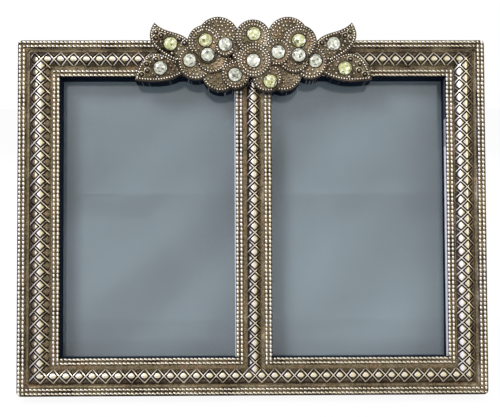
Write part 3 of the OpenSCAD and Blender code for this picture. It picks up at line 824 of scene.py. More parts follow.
class PHOTOFRAME_OT_body(bpy.types.Operator):
    """Builds the casting's body: plate, windows, rebates and the recess for the board"""

    bl_idname = "photoframe.body"
    bl_label = "Casting body"

    def solid(self):
        """A bmesh of the body."""
        c = casting()
        top = mm(c.bead_z)
        body = rounded_block((mm(c.width), mm(c.height), top), (0, mm(c.height) / 2, top / 2),
                             mm(c.corner), mm(c.edge))
        deep, chamfer = mm(c.bead_z - c.lip_z), mm(c.chamfer)
        w, h = mm(c.window_w), mm(c.window_h)
        cutters = []
        for side, x, y in windows():
            by_mullion = mm(c.mullion_draft) if side == "left" else None
            rebate = bmesh.new()
            block(rebate, (mm(c.rebate_w), mm(c.rebate_h), 2 * mm(c.lip_z)), (x, y, 0))
            bevel = (w + 2 * chamfer, h + 2 * chamfer, 2 * chamfer)
            cutters += [flared_block((w, h, 2 * deep), (x, y, top), mm(c.draft), by_mullion),
                        flared_block(bevel, (x, y, top), chamfer), rebate]
        cutters.append(rounded_block((mm(c.recess_w), mm(c.recess_h), 2 * mm(c.recess_d)),
                                     (mm(c.shift), windows()[0][2], 0), mm(c.corner)))
        return cut_out(body, cutters + cove_bars())

    def execute(self, context):
        c = casting()
        bm = self.solid()
        middle = mm(c.height) / 2
        foot = mm(c.lip_z) + WALL_FOOT * mm(c.bead_z - c.lip_z)
        reach = [mm(size) / 2 + mm(c.band) for size in (c.window_w, c.window_h)]
        opening = [mm(size) / 2 + mm(c.chamfer) for size in (c.window_w, c.window_h)]
        fade = [mm(c.height) - inset for inset in FADE]
        bottom, top = (windows()[0][2] + way * reach[1] for way in (-1, 1))
        lines = [((0, 0, foot), (0, 0, 1))] + [((0, level, 0), (0, 1, 0)) for level in fade]
        for _, x, _ in windows():
            lines += [((x + way * reach[0], 0, 0), (1, 0, 0)) for way in (-1, 1)]
        lines += [((0, level, 0), (0, 1, 0)) for level in (bottom, top)]
        for place, normal in lines:
            slice_plane(bm, place, normal)
        bm.normal_update()

        def near_window(x, y, sizes):
            return any(abs(x - wx) < sizes[0] and abs(y - wy) < sizes[1] for _, wx, wy in windows())

        raised, painted_gleam, hollow = (bm.faces.layers.float.new(key) for key in ("raised", "painted_gleam", "hollow"))
        for face in bm.faces:
            x, y, z = face.calc_center_median()
            across, up, out = face.normal
            rim = min(mm(c.width) / 2 - abs(x), middle - abs(y - middle))
            inward = across * (x < 0 or -1) if abs(across) > abs(up) else -up if y > middle else up
            # Window walls: near black in painted shade, and those that face left with a painted reflection
            if abs(out) < 0.8 and z > mm(c.lip_z) and near_window(x, y, opening):
                face[hollow] = 1.0
                face[painted_gleam] = painted_wall_gleam(x, y, z, foot, fade) if across <= -0.9 else 0.0
            elif z > mm(c.bead_z - c.edge) and inward < 0 and rim < mm(c.edge):
                face[raised] = EDGE_RAISED
            elif rim < mm(c.border) or near_window(x, y, reach):
                face[raised] = BEAD_GROUND
            elif out < NEARLY_ONE:
                # Painted light: the cove is lighter where it slopes towards the window
                face[raised] = COVE_RAISED + COVE_SLOPE * inward
            else:
                # Painted shade and light: the top flat is darker and the bottom flat lighter
                face[raised] = FLAT_TOP if y > top else FLAT_BOTTOM if y < bottom else FLAT_SIDE
        cast_piece(bm, "casting_body", ("front_casting",), 30, True)
        return {"FINISHED"}


class PHOTOFRAME_OT_rails(bpy.types.Operator):
    """Builds the domed rails and the mullion, with their lattice of ridges and studs"""

    bl_idname = "photoframe.rails"
    bl_label = "Latticed rails"

    def execute(self, context):
        c = casting()
        (_, left_x, y), (_, right_x, _) = windows()
        half_w = mm(c.window_w) / 2 + mm(c.band) + mm(c.side_flat)
        half_h = mm(c.window_h) / 2 + mm(c.band) + mm(c.flat)
        inset = mm(c.border) + mm(c.cove_w)
        outer = (-mm(c.width) / 2 + inset, inset, mm(c.width) / 2 - inset, mm(c.height) - inset)
        inner = (left_x - half_w, y - half_h, right_x + half_w, y + half_h)
        left, bottom, right, top = (abs(a - b) for a, b in zip(outer, inner))
        across, up = outer[2] - outer[0], outer[3] - outer[1]
        width = mm(c.mullion) - 2 * mm(c.band) - 2 * mm(c.flat)
        foot = (mm(c.shift) + width / 2, outer[1] + bottom / 2)
        rails = (("bottom_rail", (outer[0], outer[1]), (1, 0), across, bottom, (left, right)),
                 ("right_rail", (outer[2], outer[1]), (0, 1), up, right, (bottom, top)),
                 ("top_rail", (outer[2], outer[3]), (-1, 0), across, top, (right, left)),
                 ("left_rail", (outer[0], outer[3]), (0, -1), up, left, (top, bottom)),
                 ("mullion", foot, (0, 1), outer[3] - top / 2 - foot[1], width, (0, 0)))
        for name, *shape in rails:
            cast_piece(rail(*shape), name, (), 50)
        return {"FINISHED"}


# A bead in a level row and in an upright one: its length and width for the bead's size, its turn, how far its
# painted highlight leans up the plate, and the heights between which that painted highlight comes on
BEAD_FORMS = ((1.6, 0.66, -0.28, 0.75, 0.2, 0.36), (0.84, 1.1, 0.15, 0.25, -0.04, 0.24))
# How far a bead's size and place differ from the row's
BEAD_SPREAD, BEAD_SHAKE = 0.06, 0.03
# Distance from the casting's edge, and from a window's, to the first row; how far the beads run on
# under the crest
OUTER_INSET, WINDOW_OUTSET, UNDER_CREST = 0.7, 0.42, 0.5


def bead_shape(lift, low, high):
    """A mesh of one bead, with its raised attribute, which paints a highlight on its upper side."""
    return shape_of(small_ball(), "bead",
                    lambda v: 0.2 + 0.8 * ramp_between(v.co.z + lift * v.co.y, low, high))


def bead_places(low, high, axis, rng):
    """Matrices of the beads on the rectangle's two sides along that axis; corner beads are shared."""
    o = ornament()
    ground, pitch, height = mm(casting().bead_z), mm(o.bead_pitch), mm(o.bead_h)
    size, turn = [mm(o.bead_d) * share for share in BEAD_FORMS[axis][:2]], BEAD_FORMS[axis][2]
    places = []
    span = high[axis] - low[axis]
    count = round(span / pitch)
    for side in (0, 1):
        for k in range(count):
            point = [0.0, 0.0]
            point[axis] = low[axis] + span * (k if side else k + 1) / count
            point[1 - axis] = (low, high)[side if axis == 0 else 1 - side][1 - axis]
            if crest_covers(*point, -UNDER_CREST):
                continue
            grow = 1 + rng.uniform(-BEAD_SPREAD, BEAD_SPREAD)
            # A level row's end beads are shorter, which keeps them inside the corner
            long = size[0] if 0 < k < count - 1 or axis else mm(o.bead_d)
            spot = [p + rng.uniform(-BEAD_SHAKE, BEAD_SHAKE) for p in point]
            places.append(Matrix.Translation((*spot, ground)) @ Matrix.Rotation(turn, 4, "Z")
                          @ Matrix.Diagonal((long * grow, size[1] * grow, 2 * height * min(grow, 1), 1)))
    return places


class PHOTOFRAME_OT_beads(bpy.types.Operator):
    """Builds the double bead rows round the casting and round each window"""

    bl_idname = "photoframe.beads"
    bl_label = "Bead rows"

    def execute(self, context):
        c, o = casting(), ornament()
        rng = random.Random(o.seed)
        shapes = [bead_shape(*form[3:]) for form in BEAD_FORMS]
        rings = [("outer_beads", (-mm(c.width) / 2, 0), (mm(c.width) / 2, mm(c.height)), -OUTER_INSET, -1)]
        w, h = mm(c.window_w) / 2, mm(c.window_h) / 2
        for side, x, y in windows():
            rings.append((side + "_window_beads", (x - w, y - h), (x + w, y + h), WINDOW_OUTSET, 1))
        for name, low, high, out, way in rings:
            bm = bmesh.new()
            for row in (0, 1):
                grow = out + way * row * mm(o.bead_row)
                ends = [v - grow for v in low], [v + grow for v in high]
                for axis in (0, 1):
                    scatter(bm, shapes[axis], bead_places(*ends, axis, rng))
            cast_piece(bm, name)
        for shape in shapes:
            bpy.data.meshes.remove(shape)
        return {"FINISHED"}


# ---- Crest: places in millimetres from its middle

# Petals from the back to the front: middle, radius and level
PETALS = (
    (-8.20, -4.19, 4.72, 1), (7.49, -4.19, 4.66, 1),
    (-14.40, -1.53, 4.45, 2), (14.25, -1.59, 4.25, 2),
    (-8.79, 4.60, 5.25, 2), (8.67, 4.60, 5.25, 2),
    (-10.33, -0.24, 4.19, 3), (10.21, -0.24, 4.19, 3),
    (-4.48, -4.81, 3.60, 3), (3.42, -5.46, 3.72, 3),
    (-0.94, 2.33, 5.02, 3),
    (-12.10, 3.36, 4.31, 4), (11.56, 3.36, 4.31, 4),
    (-11.39, 0.24, 2.30, 4), (11.33, 0.12, 2.30, 4),
    (-0.12, 4.60, 4.43, 4), (5.90, 0.83, 3.48, 4),
    (-7.08, 2.07, 2.45, 5), (0.12, -1.24, 4.37, 5))
# The petals with two rows of rim beads
TWO_RINGED = (11, 12, 15, 18)
# Stones: middle, level, and whether yellow or clear
STONES = (
    (-20.71, 3.19, 1, "Y"), (-23.25, -2.89, 0, "C"), (-15.81, -1.12, 2, "C"), (-11.92, 3.84, 4, "Y"),
    (-11.39, 0.18, 4, "C"), (-7.02, 2.71, 5, "C"), (0.12, 5.43, 4, "Y"), (0.0, -1.36, 5, "C"),
    (-4.60, -4.78, 3, "C"), (6.20, 0.83, 4, "C"), (11.39, 3.72, 4, "Y"), (11.33, 0.06, 4, "C"),
    (15.46, -1.24, 2, "C"), (20.12, 3.13, 1, "C"), (22.95, -3.01, 0, "Y"), (4.19, -6.43, 3, "Y"))
# Stretches of the left leaves' outlines, each a curve with four points
UPPER_LEAF = (
    ((-24.72, 8.50), (-27.02, 5.19), (-26.20, 1.83), (-19.47, -1.30)),
    ((-19.47, -1.30), (-17.11, -1.18), (-15.46, 1.18), (-15.81, 3.60)),
    ((-15.81, 3.60), (-18.0, 6.61), (-22.01, 5.43), (-24.72, 8.50)))
LOWER_LEAF = (
    ((-29.62, -5.90), (-29.03, -1.00), (-25.49, 3.01), (-20.47, -0.47)),
    ((-20.47, -0.47), (-18.29, -1.18), (-16.82, -2.95), (-17.52, -4.31)),
    ((-17.52, -4.31), (-21.0, -6.61), (-25.49, -6.61), (-29.62, -5.90)))
LEAVES = (("lower", LOWER_LEAF, 0), ("upper", UPPER_LEAF, 1))
# Granules that stand in a ring, on the left leaf of each kind
RINGLETS = {"upper": ((-24.33, 6.05), (-24.41, 4.57), (-23.03, 5.15), (-18.41, 4.19), (-17.21, 3.29)),
            "lower": ((-26.70, -1.94), (-26.50, -3.64), (-24.35, -0.75), (-27.95, -4.59), (-24.0, -5.25))}
# Height of the crest's middle over the casting's lower edge
CREST_Y = 84.85
# Points on a leaf's stretch and round a petal
LEAF_STEPS, PETAL_STEPS = 30, 96
# How far granules keep away from a petal in front of them, and from a stone
PETAL_GAP, STONE_GAP = 0.12, 0.42


def crest_level(level):
    """Height of a crest level over the rear edge."""
    o = ornament()
    return mm(casting().bead_z + o.crest_t + level * o.petal_step)


def leaf_outline(stretches, side, steps=LEAF_STEPS):
    """Points round a leaf, anticlockwise; side is -1 for the left leaf and 1 for the mirrored one."""
    points = []
    for a, b, c, d in stretches:
        for k in range(steps):
            t = k / steps
            u = 1 - t
            x, y = (u ** 3 * a[i] + 3 * t * u * u * b[i] + 3 * t * t * u * c[i] + t ** 3 * d[i]
                    for i in (0, 1))
            points.append((x if side < 0 else -x, y))
    return points if side < 0 else points[::-1]


def inside(points, x, y):
    """Whether (x, y) lies inside the closed outline."""
    found = False
    for (ax, ay), (bx, by) in zip(points, points[1:] + points[:1]):
        if (ay > y) != (by > y) and x < ax + (y - ay) * (bx - ax) / (by - ay):
            found = not found
    return found


def edge_distance(points, x, y):
    """Distance from (x, y) to the outline."""
    spot = Vector((x, y))
    distances = []
    for a, b in zip(points, points[1:] + points[:1]):
        a, b = Vector(a), Vector(b)
        t = max(0.0, min(1.0, (spot - a).dot(b - a) / (b - a).length_squared))
        distances.append((spot - a - t * (b - a)).length)
    return min(distances)


def crest_covers(x, y, margin):
    """Whether the crest's outline, grown by margin, covers a place on the casting."""
    x, y = x - mm(casting().shift), y - CREST_Y
    if any(math.hypot(x - px, y - py) < r + margin for px, py, r, _ in PETALS):
        return True
    for side in (-1, 1):
        for _, stretches, _ in LEAVES:
            outline = leaf_outline(stretches, side, 6)
            if inside(outline, x, y) and edge_distance(outline, x, y) > -margin:
                return True
    return False


def hidden(x, y, petal):
    """Whether a place on that petal, or on a leaf for -1, is under a later petal or beside a stone."""
    clear = mm(ornament().stone_d) / 2 + STONE_GAP
    return any(math.hypot(x - px, y - py) < r + PETAL_GAP for px, py, r, _ in PETALS[petal + 1:]) \
        or any(math.hypot(x - sx, y - sy) < clear for sx, sy, _, _ in STONES)


# Steps inwards over a petal or a leaf from its edge: width, rise, and the metal's level in the patina after
# it, from dark to worn with a painted highlight
RIM = ((0.05, 0.10, 0.3), (0.08, 0.02, 0.62), (0.05, -0.12, 0.16), (0.5, 0.0, 0.2),
       (0.05, 0.06, 0.34), (0.08, 0.0, 0.5), (0.05, -0.05, 0.33))
LEAF_RIM = (*RIM[:3], (0.5, 0.0, 0.42))
# How bright a plate's edge and its back are in the patina, and the width of the dark rim round the back
PLATE_EDGE, PLATE_BACK, BACK_RIM = 0.12, 0.2, 0.06


def cast_plate(outline, top, rim, foot, rng):
    """A closed plate of that outline from foot to top, with the steps of rim and a wall in painted shade,
    darker to its foot, with painted light streaks.
    """
    bm = bmesh.new()
    face = bm.faces.new([bm.verts.new((x, y, top)) for x, y in outline])
    bm.faces.ensure_lookup_table()
    bm.normal_update()
    if face.normal.z < 0:
        face.normal_flip()
    raised, painted_streak, hollow = (bm.verts.layers.float.new(key) for key in ("raised", "painted_streak", "hollow"))

    def inset(faces, thickness, depth, **marks):
        before = set(bm.verts)
        bmesh.ops.inset_individual(bm, faces=faces, thickness=thickness, depth=depth, **marks)
        return set(bm.verts) - before

    for v in bm.verts:
        # Painted light and shade on the wall: each point gets a random chance of a painted light streak, and
        # a skirt, having no rim, is near black in painted shade all over
        v[raised], v[painted_streak], v[hollow] = PLATE_EDGE, rng.random(), 0.0 if rim else 1.0
    wall = list(bm.edges)
    for thickness, depth, worn_and_lit in rim:
        for v in inset([face], thickness, depth, use_even_offset=True):
            v[raised] = worn_and_lit
    for v in only(bmesh.types.BMVert, bmesh.ops.extrude_edge_only(bm, edges=wall)["geom"]):
        # The foot of the wall is near black, in painted shade
        v.co.z, v[raised], v[hollow] = foot, 0.0, 1.0
    back = close_holes(bm)
    if rim:
        for v in inset(back, BACK_RIM, 0.0):
            v[raised], v[hollow] = PLATE_BACK, 0.0
    bmesh.ops.recalc_face_normals(bm, faces=bm.faces)
    return bm


# How far a skirt stands inside the petal over it, and how far it reaches up into it
SKIRT_INSET, SKIRT_RISE = 0.1, 0.5


def crest_skirts(rng):
    """Walls that run back towards the glass where the crest hangs over a window; returns their bmesh."""
    c = casting()
    joined = bmesh.new()
    gap, half_w, half_h = mm(c.window_gap), mm(c.window_w) / 2, mm(c.window_h) / 2
    for _, x, y in windows():
        left, right = x - half_w + gap - mm(c.shift), x + half_w - gap - mm(c.shift)
        top = y + half_h - gap - CREST_Y
        for outline in crest_outlines(-SKIRT_INSET):
            xs, ys = zip(*outline)
            if min(ys) > top or min(xs) > right or max(xs) < left:
                continue
            bm = cast_plate(outline, mm(c.bead_z) + SKIRT_RISE, (), mm(c.lip_z + c.skirt_gap), rng)
            slice_plane(bm, (left, 0, 0), (-1, 0, 0), clear=True, fill=True)
            slice_plane(bm, (right, 0, 0), (1, 0, 0), clear=True, fill=True)
            slice_plane(bm, (0, top, 0), (0, 1, 0), clear=True, fill=True)
            bmesh.ops.recalc_face_normals(bm, faces=bm.faces)
            add_mesh(joined, bm)
    return joined


def crest_outlines(grow):
    """Outlines of every leaf, and of every petal grown by that much."""
    leaves = [leaf_outline(stretches, side) for side in (-1, 1) for _, stretches, _ in LEAVES]
    return leaves + [circle(x, y, r + grow, PETAL_STEPS) for x, y, r, _ in PETALS]


def circle(x, y, radius, count, phase=0.0):
    """Points round a circle."""
    return [(x + radius * math.cos(a), y + radius * math.sin(a))
            for a in (2 * math.pi * (k + phase) / count for k in range(count))]


def crest_plan():
    """Matrix from the crest's middle to the casting's plane."""
    return Matrix.Translation((mm(casting().shift), CREST_Y, 0))


class PHOTOFRAME_OT_crest(bpy.types.Operator):
    """Builds the crest's leaves and petals, each with its wall and its stepped rim"""

    bl_idname = "photoframe.crest"
    bl_label = "Crest petals and leaves"

    def execute(self, context):
        rng = random.Random(ornament().seed + 3)
        ground = mm(casting().bead_z)
        bm = crest_skirts(rng)
        plates = [(leaf_outline(stretches, side), level, LEAF_RIM)
                  for side in (-1, 1) for _, stretches, level in LEAVES]
        plates += [(circle(x, y, r, PETAL_STEPS), level, RIM) for x, y, r, level in PETALS]
        for outline, level, rim in plates:
            add_mesh(bm, cast_plate(outline, crest_level(level), rim, ground, rng))
        bm.transform(crest_plan())
        cast_piece(bm, "crest_petals", ("crest_casting",), 50)
        return {"FINISHED"}


# Granules: how bright the top of each kind is, worn and with a painted highlight
RIM_HIGHLIGHT, GRAIN_HIGHLIGHT, BOSS_HIGHLIGHT, PAD_HIGHLIGHT = 0.62, 0.47, 0.42, 0.56
# Inset of a petal's rim beads and of its field, and distance from the second row of rim beads to the field
RIM_INSET, FIELD_INSET, SECOND_ROW = 0.48, 1.22, 0.75
# A petal's field: pitch along a ring, distance from ring to ring, radius of the smallest, and spread of
# the places
RING_PITCH, RING_STEP, RING_LEAST, RING_SHAKE = 1.02, 0.98, 0.3, 0.1
# Height of the rim beads, of their second row, and of a petal's and a leaf's granules
RIM_Z, SECOND_Z, FIELD_Z, LEAF_Z = 0.06, 0.04, 0.03, 0.04
# Spread of the sizes
RIM_SIZES, FIELD_SIZES, LEAF_SIZES = (0.92, 1.06), (0.8, 1.15), (0.85, 1.15)
# A leaf: inset of its rim beads, the granules' diameter and pitch, their distance from the edge and from
# a ringlet, and spread
LEAF_INSET, LEAF_GRAIN, LEAF_PITCH = 0.5, 0.72, 1.12
LEAF_MARGIN, RINGLET_MARGIN, LEAF_SHAKE = 1.05, 1.0, 0.08
# Ringlets: the form of one of diameter 1 (radius, wire, sides, steps), and its level in the patina; diameter
# and height; the boss in each; the flat pad under it, with its distance from the leaf's edge
RINGLET_FORM, RINGLET_RAISED = (0.37, 0.13, 6, 10), 0.02
RINGLET_D, RINGLET_Z, BOSS_D, BOSS_Z = 1.45, 0.1, 0.8, 0.12
PAD_R, PAD_FLAT, PAD_MARGIN = 1.05, 0.14, 0.2
# The large granules over one stone: that stone, their ring's radius, pitch, diameter and height, and how
# far over the stone's middle they begin
WREATHED, WREATH_R, WREATH_PITCH, WREATH_D, WREATH_Z = 3, 2.6, 0.95, 0.78, 0.08
WREATH_FROM = 0.4


def granule_shape(worn_and_lit):
    """A mesh of one granule of diameter 1, with its raised attribute; the argument is how bright its top is,
    worn and with a painted highlight that leans a little up.
    """
    return shape_of(small_ball(), "granule",
                    lambda v: 0.12 + worn_and_lit * ramp_between(v.co.z + 0.2 * v.co.y, 0.1, 0.42))


def granule_at(x, y, z, size, flat=0.75):
    """Matrix of a granule of that size, sunk a little into its ground."""
    return Matrix.Translation((x, y, z)) @ Matrix.Diagonal((size, size, size * flat, 1))


def ring_of(x, y, radius, pitch, phase=0.0):
    """Places on a circle, at about that pitch."""
    return circle(x, y, radius, max(3, round(2 * math.pi * radius / pitch)), phase)


class PHOTOFRAME_OT_granules(bpy.types.Operator):
    """Builds the rim beads, granules and ringlets of the crest"""

    bl_idname = "photoframe.granules"
    bl_label = "Crest granules"

    def petal(self, k, rng, rims, grains):
        """Adds the places on petal k."""
        o = ornament()
        x, y, r, level = PETALS[k]
        z, pitch = crest_level(level), mm(o.rim_pitch)
        for px, py in ring_of(x, y, r - RIM_INSET, pitch):
            if not hidden(px, py, k):
                rims.append(granule_at(px, py, z + RIM_Z, mm(o.rim_bead_d) * rng.uniform(*RIM_SIZES)))
        radius = r - FIELD_INSET
        if k in TWO_RINGED:
            for px, py in ring_of(x, y, radius, pitch, 0.5):
                if not hidden(px, py, k):
                    rims.append(granule_at(px, py, z + SECOND_Z, mm(o.rim_bead_d)))
            radius -= SECOND_ROW
        while radius > RING_LEAST:
            for place in ring_of(x, y, radius, RING_PITCH, rng.random()):
                px, py = (p + rng.uniform(-RING_SHAKE, RING_SHAKE) for p in place)
                if not hidden(px, py, k):
                    size = mm(o.granule_d) * rng.uniform(*FIELD_SIZES)
                    grains.append(granule_at(px, py, z + FIELD_Z, size))
            radius -= RING_STEP

    def leaf(self, side, name, stretches, level, rng, rims, grains, bosses, pads, ringlets):
        """Adds the places on one leaf."""
        o = ornament()
        z = crest_level(level)
        outline = leaf_outline(stretches, side, 24)
        over = leaf_outline(UPPER_LEAF, side, 12) if name == "lower" else None

        def covered(x, y):
            return hidden(x, y, -1) or (over and inside(over, x, y))

        for px, py in inner_row(outline, LEAF_INSET, mm(o.rim_pitch)):
            if not covered(px, py):
                rims.append(granule_at(px, py, z + RIM_Z, mm(o.rim_bead_d) * rng.uniform(*RIM_SIZES)))
        rings = [(-side * x, y) for x, y in RINGLETS[name]]
        for px, py in rings:
            bosses.append(granule_at(px, py, z + BOSS_Z, BOSS_D))
            ringlets.append(granule_at(px, py, z + RINGLET_Z, RINGLET_D, 1 / RINGLET_D))
            pad = 2 * min(PAD_R, edge_distance(outline, px, py) - PAD_MARGIN)
            pads.append(granule_at(px, py, z, pad, PAD_FLAT))
        for px, py in honeycomb(outline, LEAF_PITCH):
            if edge_distance(outline, px, py) < LEAF_MARGIN or covered(px, py) \
                    or any(math.hypot(px - rx, py - ry) < RINGLET_MARGIN for rx, ry in rings):
                continue
            px, py = (p + rng.uniform(-LEAF_SHAKE, LEAF_SHAKE) for p in (px, py))
            grains.append(granule_at(px, py, z + LEAF_Z, LEAF_GRAIN * rng.uniform(*LEAF_SIZES)))

    def execute(self, context):
        rng = random.Random(ornament().seed + 1)
        rims, grains, bosses, pads, ringlets = ([] for _ in range(5))
        for k in range(len(PETALS)):
            self.petal(k, rng, rims, grains)
        for side in (-1, 1):
            for leaf in LEAVES:
                self.leaf(side, *leaf, rng, rims, grains, bosses, pads, ringlets)
        sx, sy, level, _ = STONES[WREATHED]
        for px, py in ring_of(sx, sy, WREATH_R, WREATH_PITCH):
            if py > sy + WREATH_FROM:
                grains.append(granule_at(px, py, crest_level(level) + WREATH_Z, WREATH_D))
        bm = bmesh.new()
        shapes = [granule_shape(worn_and_lit) for worn_and_lit in (RIM_HIGHLIGHT, GRAIN_HIGHLIGHT, BOSS_HIGHLIGHT, PAD_HIGHLIGHT)]
        shapes.append(shape_of(spun_ring(*RINGLET_FORM), "ringlet", lambda v: RINGLET_RAISED))
        for shape, places in zip(shapes, (rims, grains, bosses, pads, ringlets)):
            scatter(bm, shape, places)
            bpy.data.meshes.remove(shape)
        bm.transform(crest_plan())
        cast_piece(bm, "crest_granules")
        return {"FINISHED"}


def inner_row(outline, inset, pitch):
    """Places at that inset inside the outline, at about that pitch along it."""
    pairs = list(zip(outline, outline[1:] + outline[:1]))
    if sum(ax * by - bx * ay for (ax, ay), (bx, by) in pairs) < 0:
        outline = outline[::-1]
        pairs = list(zip(outline, outline[1:] + outline[:1]))
    runs = [math.dist(a, b) for a, b in pairs]
    count = round(sum(runs) / pitch)
    places, travelled, index = [], 0.0, 0
    for k in range(count):
        goal = sum(runs) * k / count
        while travelled + runs[index] < goal:
            travelled += runs[index]
            index += 1
        (ax, ay), (bx, by) = pairs[index]
        run, dx, dy = runs[index], bx - ax, by - ay
        t = (goal - travelled) / run
        places.append((ax + t * dx - dy / run * inset, ay + t * dy + dx / run * inset))
    return [p for p in places if inside(outline, *p) and edge_distance(outline, *p) > 0.8 * inset]


def honeycomb(outline, pitch):
    """Places on a honeycomb inside the outline."""
    xs, ys = [p[0] for p in outline], [p[1] for p in outline]
    places, row, y = [], 0, min(ys)
    while y < max(ys):
        x = min(xs) + (pitch / 2 if row % 2 else 0)
        while x < max(xs):
            if inside(outline, x, y):
                places.append((x, y))
            x += pitch
        y += pitch * math.sqrt(3) / 2
        row += 1
    return places


# A stone: rise of its table over the girdle, depth of its point, and the painted reflection that a facet may
# have
CROWN, PAVILION = 0.55, 1.0
FACETS, FACET_SPREAD = (0.12, 0.22, 0.34, 0.46, 0.58, 0.72, 0.88), 0.06
# Its rings of corners: count, share of the radius, height for the crown above the girdle, and turn in corners
CROWN_RINGS = ((8, 0.52, 1.0, 0.0), (8, 0.74, 0.74, 0.5), (16, 0.9, 0.36, 0.5))
# Radius of a collar's wire, its height, and its level in the patina
WIRE, COLLAR_Z, COLLAR_RAISED = 0.1, 0.05, 0.1


def gem_bmesh(radius):
    """A brilliant: an eight-sided table, stars and kites down to the girdle, and a point below."""
    bm = bmesh.new()
    rings = [(count, share, rise * CROWN, turn) for count, share, rise, turn in CROWN_RINGS]
    rings += [(16, 1.0, 0.02, 0.0), (16, 1.0, -0.08, 0.0), (8, 0.3, -PAVILION, 0.0)]
    for count, share, z, turn in rings:
        place = Matrix.Translation((0, 0, z)) @ Matrix.Rotation(2 * math.pi * turn / count, 4, "Z")
        bmesh.ops.create_circle(bm, segments=count, radius=share * radius, cap_ends=False, matrix=place)
    bmesh.ops.convex_hull(bm, input=bm.verts[:])
    bmesh.ops.delete(bm, geom=[e for e in bm.edges if not e.link_faces], context="EDGES")
    bmesh.ops.dissolve_limit(bm, angle_limit=math.radians(2), verts=bm.verts[:], edges=bm.edges[:])
    table = [f for f in bm.faces if f.calc_center_median().z > NEARLY_ONE * CROWN]
    bmesh.ops.poke(bm, faces=table, offset=-0.01)
    bmesh.ops.recalc_face_normals(bm, faces=bm.faces)
    return bm


class PHOTOFRAME_OT_stones(bpy.types.Operator):
    """Builds the sixteen cut stones and the collars that hold them"""

    bl_idname = "photoframe.stones"
    bl_label = "Stones"

    def execute(self, context):
        o, f = ornament(), finish()
        rng = random.Random(o.seed + 2)
        radius = mm(o.stone_d) / 2
        finishes = {"Y": (stone_glass("yellow_stone", tuple(f.yellow)), "yellow_stone"),
                    "C": (stone_glass("clear_stone", tuple(f.clear)), "clear_stone")}
        collars = bmesh.new()
        for k, (x, y, level, kind) in enumerate(STONES):
            bm = gem_bmesh(radius)
            layer = bm.faces.layers.float.new("facet")
            for face in bm.faces:
                face[layer] = rng.choice(FACETS) + rng.uniform(-FACET_SPREAD, FACET_SPREAD)
            place = crest_plan() @ Matrix.Translation((x, y, crest_level(level)))
            bm.transform(place @ Matrix.Rotation(rng.random() * 6, 4, "Z"))
            name = f"stone_{k + 1}"
            mesh_piece(bm, "cut_" + name, *finishes[kind], (name,), 0)
            collar = spun_ring(radius + WIRE, WIRE, 8, 32)
            collar.transform(place @ Matrix.Translation((0, 0, COLLAR_Z)))
            add_mesh(collars, collar)
        set_attribute(collars, "raised", lambda v: COLLAR_RAISED)
        cast_piece(collars, "stone_collars")
        return {"FINISHED"}


# ---- Panes, cards, back and leg

class PHOTOFRAME_OT_carried(bpy.types.Operator):
    """Gives the panes, cards, board, hinge and leg their finishes"""

    bl_idname = "photoframe.carried"
    bl_label = "Panes, cards and back"

    def execute(self, context):
        finishes = {"glass": pane_glass(), "card": slate_card(), "velvet": velvet_facing(),
                    "board": fibre_board(), "steel": hinge_steel()}
        slots = {"left_glass": "glass", "right_glass": "glass", "left_insert_card": "card",
                 "right_insert_card": "card", "back_facing": "velvet", "leg_facing": "velvet",
                 "back_board": "board", "easel_leg": "board"}
        for name, piece in NODES.items():
            if piece.hide_render:
                continue
            slot = slots.get(name, "steel")
            material = finishes[slot]
            piece.data.materials.clear()
            piece.data.materials.append(material)
        return {"FINISHED"}


# ---- Stage

# The camera in the casting's plane: its place in millimetres over the bead level, its turns in degrees
# and its upward shift
CAMERA_PLACE = (-0.817, 34.707, 249.292)
CAMERA_TURN = (-2.196, 0.822, 0.207)
CAMERA_SHIFT = 0.0963
LENS, SENSOR = 72.0, 36.0
# The lamps: place, size and power; they point at AIM
LAMPS = (("key_light", (-0.35, -0.45, 0.55), 0.25, 4.5), ("fill_light", (0.5, -0.35, 0.25), 0.35, 1.5),
         ("back_light", (0.1, 0.6, 0.5), 0.4, 3.0))
AIM = (0, 0, 0.045)
FLOOR_SIZE = 3.0
# How much of the floor that the camera sees is plain white, and the light from all round
FLOOR_WHITE, AMBIENT = 0.93, 0.62
WHITE = (1, 1, 1, 1)


def white_seen(tree, camera_share):
    """Factor of plain white: a share of it for camera rays, all of it for reflections and through glass."""
    path = tree.nodes.new("ShaderNodeLightPath").outputs
    mirrored = maths(tree, "MAXIMUM", path["Is Glossy Ray"], path["Is Transmission Ray"])
    return maths(tree, "MAXIMUM", maths(tree, "MULTIPLY", path["Is Camera Ray"], camera_share), mirrored)


